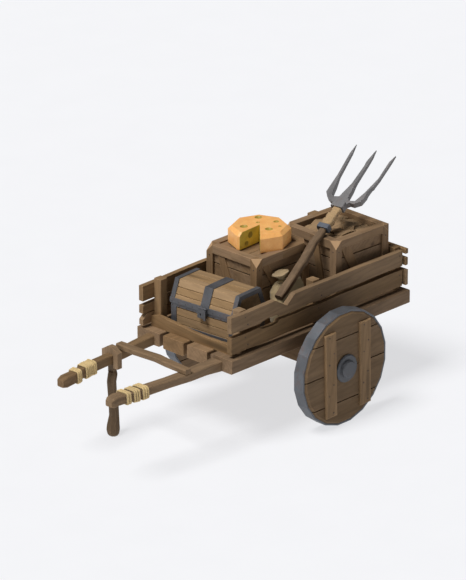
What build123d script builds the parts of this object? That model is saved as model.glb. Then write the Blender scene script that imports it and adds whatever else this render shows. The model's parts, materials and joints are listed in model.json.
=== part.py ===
from build123d import *
import os
from math import sin, cos, tan, radians, pi

# Wooden two-wheeled hand cart with its load.  Millimetres, +Z up, +X towards the shafts,
# +Y towards the cart's left side.  The ground is z = 0.
os.makedirs("parts", exist_ok=True)

# ---------------------------------------------------------------- driving variables
DATUM_X = -419.7         # x of the cart's own datum, so that the cart is centred on the origin
LOWER = 44.0             # height tables are measured from this far below the ground
AXLE = 76.5              # the axle's x from the datum
WHEEL_R = 326.0          # wheel radius across the tyre's flats
TYRE_SIDES = 20          # the tyre is forged in twenty flats
TYRE_T = 10.0            # tyre thickness
WHEEL_Y0 = 466.0         # tyre's inner side
WHEEL_Y1 = 534.0         # tyre's outer side
DISC_Y0 = 469.0          # wooden disc, inner face
DISC_Y1 = 543.0          # wooden disc, outer face, proud of the tyre
SPINDLE_R = 18.0         # axle spindle radius
RUN = 0.05               # running clearance on radius
SEAM = 0.5               # seam between wooden pieces that butt

BED_Z0 = 443.0           # underside of the bed planks
BED_Z1 = 520.0           # top of the bed planks
BED_X0 = -639.0          # rear end of the bed, from the datum
BED_X1 = 768.0           # front end of the bed, from the datum
SIDE_Y = 304.0           # inner face of the side planks
SIDE_T = 30.0            # side plank thickness
STAKE_Y = 52.0           # stake depth across the cart

SHAFT_ROOT_X = 768.0     # where the shafts leave the bed
LEG_X = 1031.0           # prop leg pivot, from the datum
LEG_Y = -285.0
LEG_Z = 396.0
LEG_PIN_R = 5.0

CHEST_L = 448.0          # chest length across the cart
CHEST_D = 272.0          # chest depth
CHEST_RIM_Z = 155.0      # height of the box's rim above the bed
CHEST_TOP_Z = 283.0      # height of the lid's flat top above the bed
CHEST_SET = 48.0         # set-back of the lid's slopes
CHEST_TURN = -4.8        # how far the chest is turned about z


def X(v):
    """x in the shared frame, from x measured from the datum"""
    return v + DATUM_X


# ---------------------------------------------------------------- bed
# four thick planks, laid lengthways with open seams; y from, y to
BED = [(-358.0, -189.0), (-161.3, -7.3), (20.4, 170.4), (198.0, 358.0)]
# stakes: x0, x1, inner y, outer y, top z
STAKES_NEAR = [(606.0, 658.0, 252.0, 304.0, 758.0), (34.0, 87.5, 252.0, 304.0, 768.0), (-611.5, -568.0, 252.0, 304.0, 771.0)]
STAKES_FAR = [(641.0, 693.5, -304.0, -252.0, 792.0), (20.0, 73.0, -304.0, -252.0, 768.0), (-573.0, -511.0, -304.0, -252.0, 831.0)]
TENON = 30.0             # square tenon under each stake
MORTISE = 30.6

with BuildPart() as bed_plank_far:
    with Locations((X(64.5), -273.5, 481.5)):
        Box(1407, 169, 77)
    chamfer(bed_plank_far.edges().filter_by(Axis.X), 4)
    # mortises for the three far stakes
    with Locations(*[(X((s[0] + s[1]) / 2), (s[2] + s[3]) / 2, 481.5) for s in STAKES_FAR]):
        Box(MORTISE, MORTISE, 90, mode=Mode.SUBTRACT)
    # socket for the far shaft's tenon
    with Locations((X(748), -255, 476)):
        Box(41, 40.6, 34.6, mode=Mode.SUBTRACT)
bed_plank_far.part.label = "bed_plank_far"
export_step(bed_plank_far.part, "parts/bed_plank_far.step")

with BuildPart() as bed_plank_mid_far:
    with Locations((X(64.5), -84.3, 481.5)):
        Box(1407, 154, 77)
    chamfer(bed_plank_mid_far.edges().filter_by(Axis.X), 4)
bed_plank_mid_far.part.label = "bed_plank_mid_far"
export_step(bed_plank_mid_far.part, "parts/bed_plank_mid_far.step")

with BuildPart() as bed_plank_mid_near:
    with Locations((X(64.5), 95.4, 481.5)):
        Box(1407, 150, 77)
    chamfer(bed_plank_mid_near.edges().filter_by(Axis.X), 4)
bed_plank_mid_near.part.label = "bed_plank_mid_near"
export_step(bed_plank_mid_near.part, "parts/bed_plank_mid_near.step")

with BuildPart() as bed_plank_near:
    with Locations((X(64.5), 278.0, 481.5)):
        Box(1407, 160, 77)
    chamfer(bed_plank_near.edges().filter_by(Axis.X), 4)
    with Locations(*[(X((s[0] + s[1]) / 2), (s[2] + s[3]) / 2, 481.5) for s in STAKES_NEAR]):
        Box(MORTISE, MORTISE, 90, mode=Mode.SUBTRACT)
    with Locations((X(748), 247, 474)):
        Box(41, 50.6, 36.6, mode=Mode.SUBTRACT)
bed_plank_near.part.label = "bed_plank_near"
export_step(bed_plank_near.part, "parts/bed_plank_near.step")

# two bearers under the planks, let in between the wheels
with BuildPart() as cross_bearers:
    with Locations((X(520), 0, 414.5), (X(-500), 0, 414.5)):
        Box(70, 510, 57)
    chamfer(cross_bearers.edges().filter_by(Axis.Y).group_by(Axis.Z)[0], 6)
cross_bearers.part.label = "cross_bearers"
export_step(cross_bearers.part, "parts/cross_bearers.step")

# ---------------------------------------------------------------- axle
with BuildPart() as axle_bolster:
    with Locations((X(AXLE), 0, (301 + BED_Z0) / 2)):
        Box(150, 800, BED_Z0 - 301)
    chamfer(axle_bolster.edges().filter_by(Axis.Z), 8)
    # groove in the underside for the square bar
    with Locations((X(AXLE), 0, 320)):
        Box(44.4, 900, 56.4, mode=Mode.SUBTRACT)
axle_bolster.part.label = "axle_bolster"
export_step(axle_bolster.part, "parts/axle_bolster.step")

# square bar, thrust collars and round spindles in one forging
with BuildPart() as axle_bar:
    with Locations((X(AXLE), 0, WHEEL_R)):
        Box(44, 838, 44)
        with Locations(Rotation(90, 0, 0)):
            Cylinder(SPINDLE_R, 1134)
    with Locations((X(AXLE), 439, WHEEL_R), (X(AXLE), -439, WHEEL_R)):
        with Locations(Rotation(90, 0, 0)):
            Cylinder(34, 41)
    # holes for the linch pins
    with Locations((X(AXLE), 559, WHEEL_R), (X(AXLE), -559, WHEEL_R)):
        Cylinder(4.1, 60, mode=Mode.SUBTRACT)
axle_bar.part.label = "axle_bar"
export_step(axle_bar.part, "parts/axle_bar.step")

# iron straps that hold the bar up against the bolster
with BuildPart() as axle_straps:
    with Locations((X(AXLE), 330, 298), (X(AXLE), -330, 298)):
        Box(162, 34, 5.9)
    with Locations((X(AXLE - 78.05), 330, 361), (X(AXLE + 78.05), 330, 361), (X(AXLE - 78.05), -330, 361), (X(AXLE + 78.05), -330, 361)):
        Box(5.9, 34, 128)
axle_straps.part.label = "axle_straps"
export_step(axle_straps.part, "parts/axle_straps.step")

# washers and linch pins on the spindle ends, under the hub caps
with BuildPart() as axle_retainers:
    for side in (1, -1):
        with Locations((X(AXLE), side * 550.5, WHEEL_R)):
            with Locations(Rotation(90, 0, 0)):
                Cylinder(33, 3)
                Cylinder(SPINDLE_R + 0.1, 4, mode=Mode.SUBTRACT)
        with Locations((X(AXLE), side * 559, WHEEL_R)):
            Cylinder(4.0, 60)
axle_retainers.part.label = "axle_retainers"
export_step(axle_retainers.part, "parts/axle_retainers.step")

# ---------------------------------------------------------------- left wheel
# iron tyre: a ring of twenty flats, one of them on the ground
with BuildPart() as left_wheel_tyre:
    with BuildSketch(Plane(origin=(X(AXLE), WHEEL_Y1, WHEEL_R), x_dir=(1, 0, 0), z_dir=(0, -1, 0))):
        RegularPolygon(WHEEL_R, TYRE_SIDES, major_radius=False, rotation=9)
        RegularPolygon(WHEEL_R - TYRE_T, TYRE_SIDES, major_radius=False, rotation=9, mode=Mode.SUBTRACT)
    extrude(amount=WHEEL_Y1 - WHEEL_Y0)
left_wheel_tyre.part.label = "left_wheel_tyre"
export_step(left_wheel_tyre.part, "parts/left_wheel_tyre.step")

# wooden disc of four boards, with a bevelled rim
with BuildPart() as left_wheel_boards:
    with BuildSketch(Plane(origin=(X(AXLE), DISC_Y1, WHEEL_R), x_dir=(1, 0, 0), z_dir=(0, -1, 0))):
        RegularPolygon(WHEEL_R - TYRE_T - 0.3, TYRE_SIDES, major_radius=False, rotation=9)
    extrude(amount=DISC_Y1 - DISC_Y0)
    chamfer(left_wheel_boards.faces().sort_by(Axis.Y)[-1].edges(), 11)
    chamfer(left_wheel_boards.faces().sort_by(Axis.Y)[0].edges(), 5)
    with Locations((X(AXLE), 505, WHEEL_R)):
        with Locations(Rotation(90, 0, 0)):
            Cylinder(42.3, 120, mode=Mode.SUBTRACT)
    # open seams between the boards
    with Locations((X(AXLE), 505, WHEEL_R - 185), (X(AXLE), 505, WHEEL_R), (X(AXLE), 505, WHEEL_R + 185)):
        Box(700, 120, 7, mode=Mode.SUBTRACT)
left_wheel_boards.part.label = "left_wheel_boards"
export_step(left_wheel_boards.part, "parts/left_wheel_boards.step")

# two leaning battens nailed over the boards
with BuildPart() as left_wheel_battens:
    for bx, lean in ((126, 1.6), (-145, 1.0)):
        with Locations((X(AXLE + bx), 550.05, WHEEL_R - 6)):
            with Locations(Rotation(0, lean, 0)):
                Box(85, 14, 490)
    chamfer(left_wheel_battens.edges().group_by(Axis.Y)[-1], 4)
left_wheel_battens.part.label = "left_wheel_battens"
export_step(left_wheel_battens.part, "parts/left_wheel_battens.step")

# iron hub: bush through the disc and a flange on its face
with BuildPart() as left_wheel_hub:
    with BuildSketch(Plane(origin=(X(AXLE), 548, WHEEL_R), x_dir=(1, 0, 0), z_dir=(0, -1, 0))):
        RegularPolygon(70, 16, major_radius=True, rotation=11.25)
    extrude(amount=4.9)
    with BuildSketch(Plane(origin=(X(AXLE), 544, WHEEL_R), x_dir=(1, 0, 0), z_dir=(0, -1, 0))):
        Circle(42)
    extrude(amount=84)
    with Locations((X(AXLE), 505, WHEEL_R)):
        with Locations(Rotation(90, 0, 0)):
            Cylinder(SPINDLE_R + RUN, 200, mode=Mode.SUBTRACT)
left_wheel_hub.part.label = "left_wheel_hub"
export_step(left_wheel_hub.part, "parts/left_wheel_hub.step")

# hollow cap over the spindle's end: a bevelled base plate and a boss
with BuildPart() as left_wheel_cap:
    with BuildSketch(Plane(origin=(X(AXLE), 556, WHEEL_R), x_dir=(1, 0, 0), z_dir=(0, -1, 0))):
        RegularPolygon(80, 16, major_radius=True, rotation=11.25)
    extrude(amount=7.9)
    chamfer(left_wheel_cap.faces().sort_by(Axis.Y)[-1].edges(), 5.5)
    with BuildSketch(Plane(origin=(X(AXLE), 573, WHEEL_R), x_dir=(1, 0, 0), z_dir=(0, -1, 0))):
        RegularPolygon(50, 16, major_radius=True, rotation=11.25)
    extrude(amount=20)
    chamfer(left_wheel_cap.faces().sort_by(Axis.Y)[-1].edges(), 7)
    with BuildSketch(Plane(origin=(X(AXLE), 568, WHEEL_R), x_dir=(1, 0, 0), z_dir=(0, -1, 0))):
        Circle(37)
    extrude(amount=30, mode=Mode.SUBTRACT)
left_wheel_cap.part.label = "left_wheel_cap"
export_step(left_wheel_cap.part, "parts/left_wheel_cap.step")

# ---------------------------------------------------------------- right wheel, the left one's mirror image
with BuildPart() as right_wheel_tyre:
    mirror(left_wheel_tyre.part, about=Plane.XZ)
right_wheel_tyre.part.label = "right_wheel_tyre"
export_step(right_wheel_tyre.part, "parts/right_wheel_tyre.step")

with BuildPart() as right_wheel_boards:
    mirror(left_wheel_boards.part, about=Plane.XZ)
right_wheel_boards.part.label = "right_wheel_boards"
export_step(right_wheel_boards.part, "parts/right_wheel_boards.step")

with BuildPart() as right_wheel_battens:
    mirror(left_wheel_battens.part, about=Plane.XZ)
right_wheel_battens.part.label = "right_wheel_battens"
export_step(right_wheel_battens.part, "parts/right_wheel_battens.step")

with BuildPart() as right_wheel_hub:
    mirror(left_wheel_hub.part, about=Plane.XZ)
right_wheel_hub.part.label = "right_wheel_hub"
export_step(right_wheel_hub.part, "parts/right_wheel_hub.step")

with BuildPart() as right_wheel_cap:
    mirror(left_wheel_cap.part, about=Plane.XZ)
right_wheel_cap.part.label = "right_wheel_cap"
export_step(right_wheel_cap.part, "parts/right_wheel_cap.step")

# ---------------------------------------------------------------- stakes
with BuildPart() as stakes_near:
    for s in STAKES_NEAR:
        with Locations((X((s[0] + s[1]) / 2), (s[2] + s[3]) / 2, (BED_Z1 + s[4]) / 2)):
            Box(s[1] - s[0], s[3] - s[2] - 0.2, s[4] - BED_Z1)
    chamfer(stakes_near.edges().filter_by(Axis.Z), 3)
    for s in STAKES_NEAR:
        with Locations((X((s[0] + s[1]) / 2), (s[2] + s[3]) / 2, (BED_Z1 + BED_Z0) / 2)):
            Box(TENON, TENON, BED_Z1 - BED_Z0)
stakes_near.part.label = "stakes_near"
export_step(stakes_near.part, "parts/stakes_near.step")

with BuildPart() as stakes_far:
    for s in STAKES_FAR:
        with Locations((X((s[0] + s[1]) / 2), (s[2] + s[3]) / 2, (BED_Z1 + s[4]) / 2)):
            Box(s[1] - s[0], s[3] - s[2] - 0.2, s[4] - BED_Z1)
    chamfer(stakes_far.edges().filter_by(Axis.Z), 3)
    for s in STAKES_FAR:
        with Locations((X((s[0] + s[1]) / 2), (s[2] + s[3]) / 2, (BED_Z1 + BED_Z0) / 2)):
            Box(TENON, TENON, BED_Z1 - BED_Z0)
stakes_far.part.label = "stakes_far"
export_step(stakes_far.part, "parts/stakes_far.step")

# ---------------------------------------------------------------- side planks
# outlines (x from the datum, z); the upper left plank has a broken notch
NEAR_UPPER = [(749.5, 708), (749.5, 801), (700, 799), (640, 797), (560, 799), (410, 802.5), (320, 749), (259, 799),
              (120, 801), (-60, 799), (-260, 802), (-430, 799.5), (-600, 800.5),
              (-600, 711), (-420, 712), (-250, 708.5), (-60, 711), (90, 706), (180, 709), (250, 702), (300, 706), (372, 700),
              (384, 715), (470, 719), (512, 711), (530, 704), (640, 706)]
NEAR_LOWER = [(749.5, 587), (749.5, 682), (640, 681), (540, 683), (505, 668), (430, 664), (392, 669), (378, 684),
              (250, 681), (160, 685), (40, 680), (-100, 688), (-300, 686), (-470, 689), (-600, 688),
              (-600, 593), (-440, 595), (-250, 590), (-40, 592), (160, 587), (330, 591), (480, 586), (640, 589)]
FAR_A = [(777, 723), (777, 810), (640, 812), (480, 817), (300, 821), (120, 815), (-60, 812), (-300, 817), (-600, 812),
         (-600, 722), (-300, 726), (0, 720), (250, 725), (480, 721), (640, 724)]
FAR_B = [(777, 650.6), (777, 697), (700, 700), (640, 702), (560, 706), (400, 708), (200, 704), (0, 709), (-300, 705), (-600, 708),
         (-600, 652), (-300, 650), (0, 653), (300, 650), (560, 652), (720, 651)]
FAR_C = [(777, 583), (777, 614), (768, 622), (745, 644), (600, 645), (400, 643), (150, 646), (-150, 643), (-600, 645),
         (-600, 590), (-300, 588), (0, 591), (300, 587), (560, 589), (690, 586)]

with BuildPart() as side_plank_near_upper:
    with BuildSketch(Plane(origin=(X(0), SIDE_Y + SIDE_T, -LOWER), x_dir=(1, 0, 0), z_dir=(0, -1, 0))):
        with BuildLine():
            Polyline(*NEAR_UPPER, close=True)
        make_face()
    extrude(amount=SIDE_T)
side_plank_near_upper.part.label = "side_plank_near_upper"
export_step(side_plank_near_upper.part, "parts/side_plank_near_upper.step")

with BuildPart() as side_plank_near_lower:
    with BuildSketch(Plane(origin=(X(0), SIDE_Y + SIDE_T, -LOWER), x_dir=(1, 0, 0), z_dir=(0, -1, 0))):
        with BuildLine():
            Polyline(*NEAR_LOWER, close=True)
        make_face()
    extrude(amount=SIDE_T)
side_plank_near_lower.part.label = "side_plank_near_lower"
export_step(side_plank_near_lower.part, "parts/side_plank_near_lower.step")

with BuildPart() as side_plank_far_upper:
    with BuildSketch(Plane(origin=(X(0), -SIDE_Y, -LOWER), x_dir=(1, 0, 0), z_dir=(0, -1, 0))):
        with BuildLine():
            Polyline(*FAR_A, close=True)
        make_face()
    extrude(amount=SIDE_T)
side_plank_far_upper.part.label = "side_plank_far_upper"
export_step(side_plank_far_upper.part, "parts/side_plank_far_upper.step")

with BuildPart() as side_plank_far_middle:
    with BuildSketch(Plane(origin=(X(0), -SIDE_Y, -LOWER), x_dir=(1, 0, 0), z_dir=(0, -1, 0))):
        with BuildLine():
            Polyline(*FAR_B, close=True)
        make_face()
    extrude(amount=SIDE_T)
side_plank_far_middle.part.label = "side_plank_far_middle"
export_step(side_plank_far_middle.part, "parts/side_plank_far_middle.step")

with BuildPart() as side_plank_far_lower:
    with BuildSketch(Plane(origin=(X(0), -SIDE_Y, -LOWER), x_dir=(1, 0, 0), z_dir=(0, -1, 0))):
        with BuildLine():
            Polyline(*FAR_C, close=True)
        make_face()
    extrude(amount=SIDE_T)
side_plank_far_lower.part.label = "side_plank_far_lower"
export_step(side_plank_far_lower.part, "parts/side_plank_far_lower.step")

# tailgate boards, standing past the side planks' ends
with BuildPart() as tail_board_upper:
    with Locations((X(-623), 0, 751)):
        Box(22, 690, 30)
    chamfer(tail_board_upper.edges().filter_by(Axis.Y), 3)
tail_board_upper.part.label = "tail_board_upper"
export_step(tail_board_upper.part, "parts/tail_board_upper.step")

with BuildPart() as tail_board_middle:
    with Locations((X(-623), 0, 691)):
        Box(22, 688, 46)
    chamfer(tail_board_middle.edges().filter_by(Axis.Y), 3)
tail_board_middle.part.label = "tail_board_middle"
export_step(tail_board_middle.part, "parts/tail_board_middle.step")

with BuildPart() as tail_board_lower:
    with Locations((X(-623), 0, 596.5)):
        Box(22, 692, 91)
    chamfer(tail_board_lower.edges().filter_by(Axis.Y), 3)
tail_board_lower.part.label = "tail_board_lower"
export_step(tail_board_lower.part, "parts/tail_board_lower.step")

# front board with its wavy top edge, on the bed between the side planks
with BuildPart() as front_board:
    with BuildSketch(Plane(origin=(X(715), 0, -LOWER), x_dir=(0, 1, 0), z_dir=(1, 0, 0))):
        with BuildLine():
            Polyline((-303.5, 564), (-303.5, 624.5), (-250, 638), (-180, 634), (-110, 629), (20, 618), (110, 616),
                     (200, 618), (260, 622), (303.5, 623), (303.5, 564), close=True)
        make_face()
    extrude(amount=-21)
front_board.part.label = "front_board"
export_step(front_board.part, "parts/front_board.step")

# ---------------------------------------------------------------- shafts
# stations: x from the datum, y, top z, width, height
NEAR_SHAFT = [(768.3, 247, 501, 74, 60), (880, 250, 505, 70, 52), (1000, 253, 504, 68, 48), (1140, 243, 503, 62, 44),
              (1270, 228, 503, 60, 48), (1400, 212, 503, 60, 52), (1480, 200, 503, 62, 54), (1520, 205, 501, 60, 52),
              (1540, 208, 491, 44, 34)]
FAR_SHAFT = [(768.3, -255, 501, 56, 58), (880, -270, 484, 52, 55), (960, -282, 468, 50, 54),
             (1060, -286, 461, 50, 54), (1160, -281, 461, 50, 55), (1260, -268, 461, 50, 55),
             (1350, -250, 461, 54, 57), (1430, -242, 461, 60, 58), (1462, -238, 454, 46, 44)]

with BuildPart() as shaft_near:
    for s in NEAR_SHAFT:
        with BuildSketch(Plane(origin=(X(s[0]), s[1], s[2] - s[4] / 2), x_dir=(0, 1, 0), z_dir=(1, 0, 0))):
            Rectangle(s[3], s[4])
            chamfer(vertices(), 5)
    loft(ruled=True)
    with Locations((X(748.2), 247, 474)):
        Box(40.4, 50, 36)
    # hole for the cross bar's peg
    with Locations((X(1022), 252, 496)):
        Cylinder(6.1, 60, mode=Mode.SUBTRACT)
shaft_near.part.label = "shaft_near"
export_step(shaft_near.part, "parts/shaft_near.step")

with BuildPart() as shaft_far:
    for s in FAR_SHAFT:
        with BuildSketch(Plane(origin=(X(s[0]), s[1], s[2] - s[4] / 2), x_dir=(0, 1, 0), z_dir=(1, 0, 0))):
            Rectangle(s[3], s[4])
            chamfer(vertices(), 5)
    loft(ruled=True)
    with Locations((X(748.2), -255, 476)):
        Box(40.4, 40, 34)
    with Locations((X(968), -281, 456)):
        Cylinder(6.1, 60, mode=Mode.SUBTRACT)
shaft_far.part.label = "shaft_far"
export_step(shaft_far.part, "parts/shaft_far.step")

# bent cross bar lying on both shafts: y, back x, bottom z
CROSS = [(-298, 943, 473.5, 47, 28), (-245, 944, 473.5, 50, 30), (-154, 960, 482, 50, 30), (15, 960, 491, 52, 30),
         (108, 979, 496, 50, 31), (212, 1000, 505.5, 47, 30), (284, 1003, 505.5, 42, 28)]
with BuildPart() as cross_bar:
    for s in CROSS:
        with BuildSketch(Plane(origin=(X(s[1] + s[3] / 2), s[0], s[2] + s[4] / 2), x_dir=(1, 0, 0), z_dir=(0, -1, 0))):
            Rectangle(s[3], s[4])
            chamfer(vertices(), 4)
    loft(ruled=True)
    # blind holes for the pegs, from below
    with Locations((X(1022), 252, 504), (X(968), -281, 472)):
        Cylinder(6.1, 40, mode=Mode.SUBTRACT)
cross_bar.part.label = "cross_bar"
export_step(cross_bar.part, "parts/cross_bar.step")

with BuildPart() as cross_bar_pegs:
    with Locations((X(1022), 252, 495), (X(968), -281, 462.5)):
        Cylinder(6, 56)
    chamfer(cross_bar_pegs.edges().filter_by(GeomType.CIRCLE), 1.5)
cross_bar_pegs.part.label = "cross_bar_pegs"
export_step(cross_bar_pegs.part, "parts/cross_bar_pegs.step")

# rope bindings: bulged coils round the shafts
# x0, x1, swell; each coil is a sleeve over the shaft
NEAR_COILS = [(1287, 1344, 13), (1345.5, 1399, 12), (1400.5, 1447, 11)]
FAR_COILS = [(1178, 1203.5, 12), (1205, 1230, 10), (1231.5, 1256, 11), (1257.5, 1282, 10), (1309, 1334, 10), (1335.5, 1360, 9)]


def shaft_at(table, x):
    for a, b in zip(table, table[1:]):
        if a[0] <= x <= b[0]:
            f = (x - a[0]) / (b[0] - a[0])
            return [a[i] + f * (b[i] - a[i]) for i in range(5)]


with BuildPart() as binding_near:
    for (a, b, sw) in NEAR_COILS:
        for x, e in ((a, sw * 0.45), (a + (b - a) * 0.3, sw), (a + (b - a) * 0.7, sw * 0.95), (b, sw * 0.4)):
            s = shaft_at(NEAR_SHAFT, x)
            with BuildSketch(Plane(origin=(X(x), s[1], s[2] - s[4] / 2), x_dir=(0, 1, 0), z_dir=(1, 0, 0))):
                Rectangle(s[3] + 2 * e, s[4] + 2 * e)
                chamfer(vertices(), 9)
        loft(ruled=True)
    # the space the shaft takes up
    for s in [shaft_at(NEAR_SHAFT, 1275)] + [s for s in NEAR_SHAFT if 1275 < s[0] < 1460] + [shaft_at(NEAR_SHAFT, 1460)]:
        with BuildSketch(Plane(origin=(X(s[0]), s[1], s[2] - s[4] / 2), x_dir=(0, 1, 0), z_dir=(1, 0, 0))):
            Rectangle(s[3] + 0.8, s[4] + 0.8)
            chamfer(vertices(), 5)
    loft(ruled=True, mode=Mode.SUBTRACT)
binding_near.part.label = "binding_near"
export_step(binding_near.part, "parts/binding_near.step")

with BuildPart() as bindings_far:
    for (a, b, sw) in FAR_COILS:
        for x, e in ((a, sw * 0.45), (a + (b - a) * 0.3, sw), (a + (b - a) * 0.7, sw * 0.95), (b, sw * 0.4)):
            s = shaft_at(FAR_SHAFT, x)
            with BuildSketch(Plane(origin=(X(x), s[1], s[2] - s[4] / 2), x_dir=(0, 1, 0), z_dir=(1, 0, 0))):
                Rectangle(s[3] + 2 * e, s[4] + 2 * e)
                chamfer(vertices(), 9)
        loft(ruled=True)
    for s in [shaft_at(FAR_SHAFT, 1170)] + [s for s in FAR_SHAFT if 1170 < s[0] < 1400] + [shaft_at(FAR_SHAFT, 1400)]:
        with BuildSketch(Plane(origin=(X(s[0]), s[1], s[2] - s[4] / 2), x_dir=(0, 1, 0), z_dir=(1, 0, 0))):
            Rectangle(s[3] + 0.8, s[4] + 0.8)
            chamfer(vertices(), 5)
    loft(ruled=True, mode=Mode.SUBTRACT)
bindings_far.part.label = "bindings_far"
export_step(bindings_far.part, "parts/bindings_far.step")

# ---------------------------------------------------------------- prop leg and its collar
# collar: a carved saddle over the far shaft, its two cheeks hold the leg's pin
with BuildPart() as leg_collar:
    with BuildSketch(Plane(origin=(X(LEG_X + 19), LEG_Y, -LOWER), x_dir=(0, 1, 0), z_dir=(1, 0, 0))):
        with BuildLine():
            Polyline((-60, 429), (-60, 520), (-15, 548), (15, 548), (59, 520), (59, 429), (26.7, 429), (26.7, 502),
                     (-27, 502), (-27, 429), close=True)
        make_face()
    extrude(amount=-34)
    # the shaft's way through
    for s in [shaft_at(FAR_SHAFT, 985), shaft_at(FAR_SHAFT, 1060)]:
        with BuildSketch(Plane(origin=(X(s[0]), s[1], s[2] - s[4] / 2), x_dir=(0, 1, 0), z_dir=(1, 0, 0))):
            Rectangle(s[3] + 1.0, s[4] + 1.0)
    loft(ruled=True, mode=Mode.SUBTRACT)
    # the pin's hole, blind on the inner side
    with Locations((X(LEG_X), -292.5, LEG_Z)):
        with Locations(Rotation(90, 0, 0)):
            Cylinder(LEG_PIN_R + 0.1, 115, mode=Mode.SUBTRACT)
leg_collar.part.label = "leg_collar"
export_step(leg_collar.part, "parts/leg_collar.step")

with BuildPart() as leg_pin:
    with Locations((X(LEG_X), -292.5, LEG_Z)):
        with Locations(Rotation(90, 0, 0)):
            Cylinder(LEG_PIN_R, 113)
    chamfer(leg_pin.edges().filter_by(GeomType.CIRCLE), 1)
leg_pin.part.label = "leg_pin"
export_step(leg_pin.part, "parts/leg_pin.step")

# leg: a leaning octagonal branch with a swollen foot and a flat tongue at the top
# z, x from the datum, y, radius
LEG = [(0, 1062.2, -251.1, 24), (12.6, 1061, -252.4, 34), (36, 1059.4, -254.8, 39), (54, 1056.4, -256.7, 37), (110, 1044.5, -261.4, 29),
       (171, 1042.5, -266.8, 29), (228.6, 1045.8, -271.7, 26.5), (302.4, 1045, -277.3, 27.5), (340.2, 1034, -280.2, 28), (356, 1031, -283, 24)]
with BuildPart() as prop_leg:
    for s in LEG:
        with BuildSketch(Plane.XY.offset(s[0])):
            with Locations((X(s[1]), s[2])):
                RegularPolygon(s[3], 8, major_radius=True, rotation=22.5)
    loft(ruled=True)
    with Locations((X(LEG_X), LEG_Y, 373)):
        Box(24, 42, 46)
    with Locations((X(LEG_X), LEG_Y, LEG_Z)):
        with Locations(Rotation(90, 0, 0)):
            Cylinder(12, 42)
            Cylinder(LEG_PIN_R + RUN, 80, mode=Mode.SUBTRACT)
prop_leg.part.label = "prop_leg"
export_step(prop_leg.part, "parts/prop_leg.step")

# ---------------------------------------------------------------- chest
# local frame: x towards the chest's front, y along its length, z up from the bed
CHEST = Plane(origin=(X(671.1), -205.0, BED_Z1), x_dir=(cos(radians(CHEST_TURN)), -sin(radians(CHEST_TURN)), 0), z_dir=(0, 0, 1))
CT = 14.0                # board thickness
IRON = 3.0               # iron band thickness

# box: floor, two ends, and four boards on the front and the back
with BuildPart(CHEST) as chest_box_boards:
    with Locations((-CHEST_D / 2, CHEST_L / 2, 9)):
        Box(CHEST_D - 18 - 2 * CT - 1, CHEST_L - 18 - 2 * CT - 1, 12)
    zs = [3.0, 41.0, 86.5, 132.0, 150.0]
    for z0, z1 in zip(zs, zs[1:]):
        for xc in (-9 - CT / 2, -CHEST_D + 9 + CT / 2):
            with Locations((xc, CHEST_L / 2, (z0 + z1) / 2)):
                Box(CT, CHEST_L - 18, z1 - z0 - 4.5)
    for yc in (9 + CT / 2, CHEST_L - 9 - CT / 2):
        with Locations((-CHEST_D / 2, yc, 76.5)):
            Box(CHEST_D - 18 - 2 * CT - 1, CT, 147)
chest_box_boards.part.label = "chest_box_boards"
export_step(chest_box_boards.part, "parts/chest_box_boards.step")

# iron corner angles, foot band and rim band of the box
with BuildPart(CHEST) as chest_box_irons:
    # foot band and rim band, as frames round the boards
    for z0, z1 in ((0.0, 36.0), (137.0, 154.0)):
        with Locations((-CHEST_D / 2, CHEST_L / 2, (z0 + z1) / 2)):
            Box(CHEST_D - 12, CHEST_L - 12, z1 - z0)
    # corner angles
    for xc in (-23, -CHEST_D + 23):
        for yc in (23, CHEST_L - 23):
            with Locations((xc, yc, 77)):
                Box(36, 36, 154)
    with Locations((-CHEST_D / 2, CHEST_L / 2, 80)):
        Box(CHEST_D - 17.6, CHEST_L - 17.6, 200, mode=Mode.SUBTRACT)
chest_box_irons.part.label = "chest_box_irons"
export_step(chest_box_irons.part, "parts/chest_box_irons.step")

# lid: boards up the front slope, across the top and down the back, closed by two end boards
LID_F = [(-4.0, 156.0), (-4.0, 166.0), (-CHEST_SET - 5.2, CHEST_TOP_Z - 4), (-CHEST_D + CHEST_SET + 5.2, CHEST_TOP_Z - 4),
         (-CHEST_D + 4, 166.0), (-CHEST_D + 4, 156.0)]
with BuildPart(CHEST) as chest_lid_boards:
    with BuildSketch(Plane(origin=CHEST.origin + CHEST.y_dir * (CHEST_L - 5), x_dir=CHEST.x_dir, z_dir=-CHEST.y_dir)):
        with BuildLine():
            Polyline(*LID_F, close=True)
        make_face()
    extrude(amount=CHEST_L - 10)
    # hollow of the lid
    with BuildSketch(Plane(origin=CHEST.origin + CHEST.y_dir * (CHEST_L - 5 - CT), x_dir=CHEST.x_dir, z_dir=-CHEST.y_dir)):
        with BuildLine():
            Polyline((-18.0, 100.0), (-18.0, 169.5), (-CHEST_SET - 15.5, CHEST_TOP_Z - 18), (-CHEST_D + CHEST_SET + 15.5, CHEST_TOP_Z - 18),
                     (-CHEST_D + 18, 169.5), (-CHEST_D + 18, 100.0), close=True)
        make_face()
    extrude(amount=CHEST_L - 10 - 2 * CT, mode=Mode.SUBTRACT)
    # seams between the lid's boards, cut as shallow grooves
    for gx, gz in ((-18.5, 203.0), (-34.8, 240.5)):
        with Locations((gx, CHEST_L / 2, gz), (-CHEST_D - gx, CHEST_L / 2, gz)):
            Box(14, CHEST_L, 5, mode=Mode.SUBTRACT)
    with Locations((-105, CHEST_L / 2, CHEST_TOP_Z - 5), (-163, CHEST_L / 2, CHEST_TOP_Z - 5)):
        Box(5, CHEST_L, 10, mode=Mode.SUBTRACT)
chest_lid_boards.part.label = "chest_lid_boards"
export_step(chest_lid_boards.part, "parts/chest_lid_boards.step")

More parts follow.
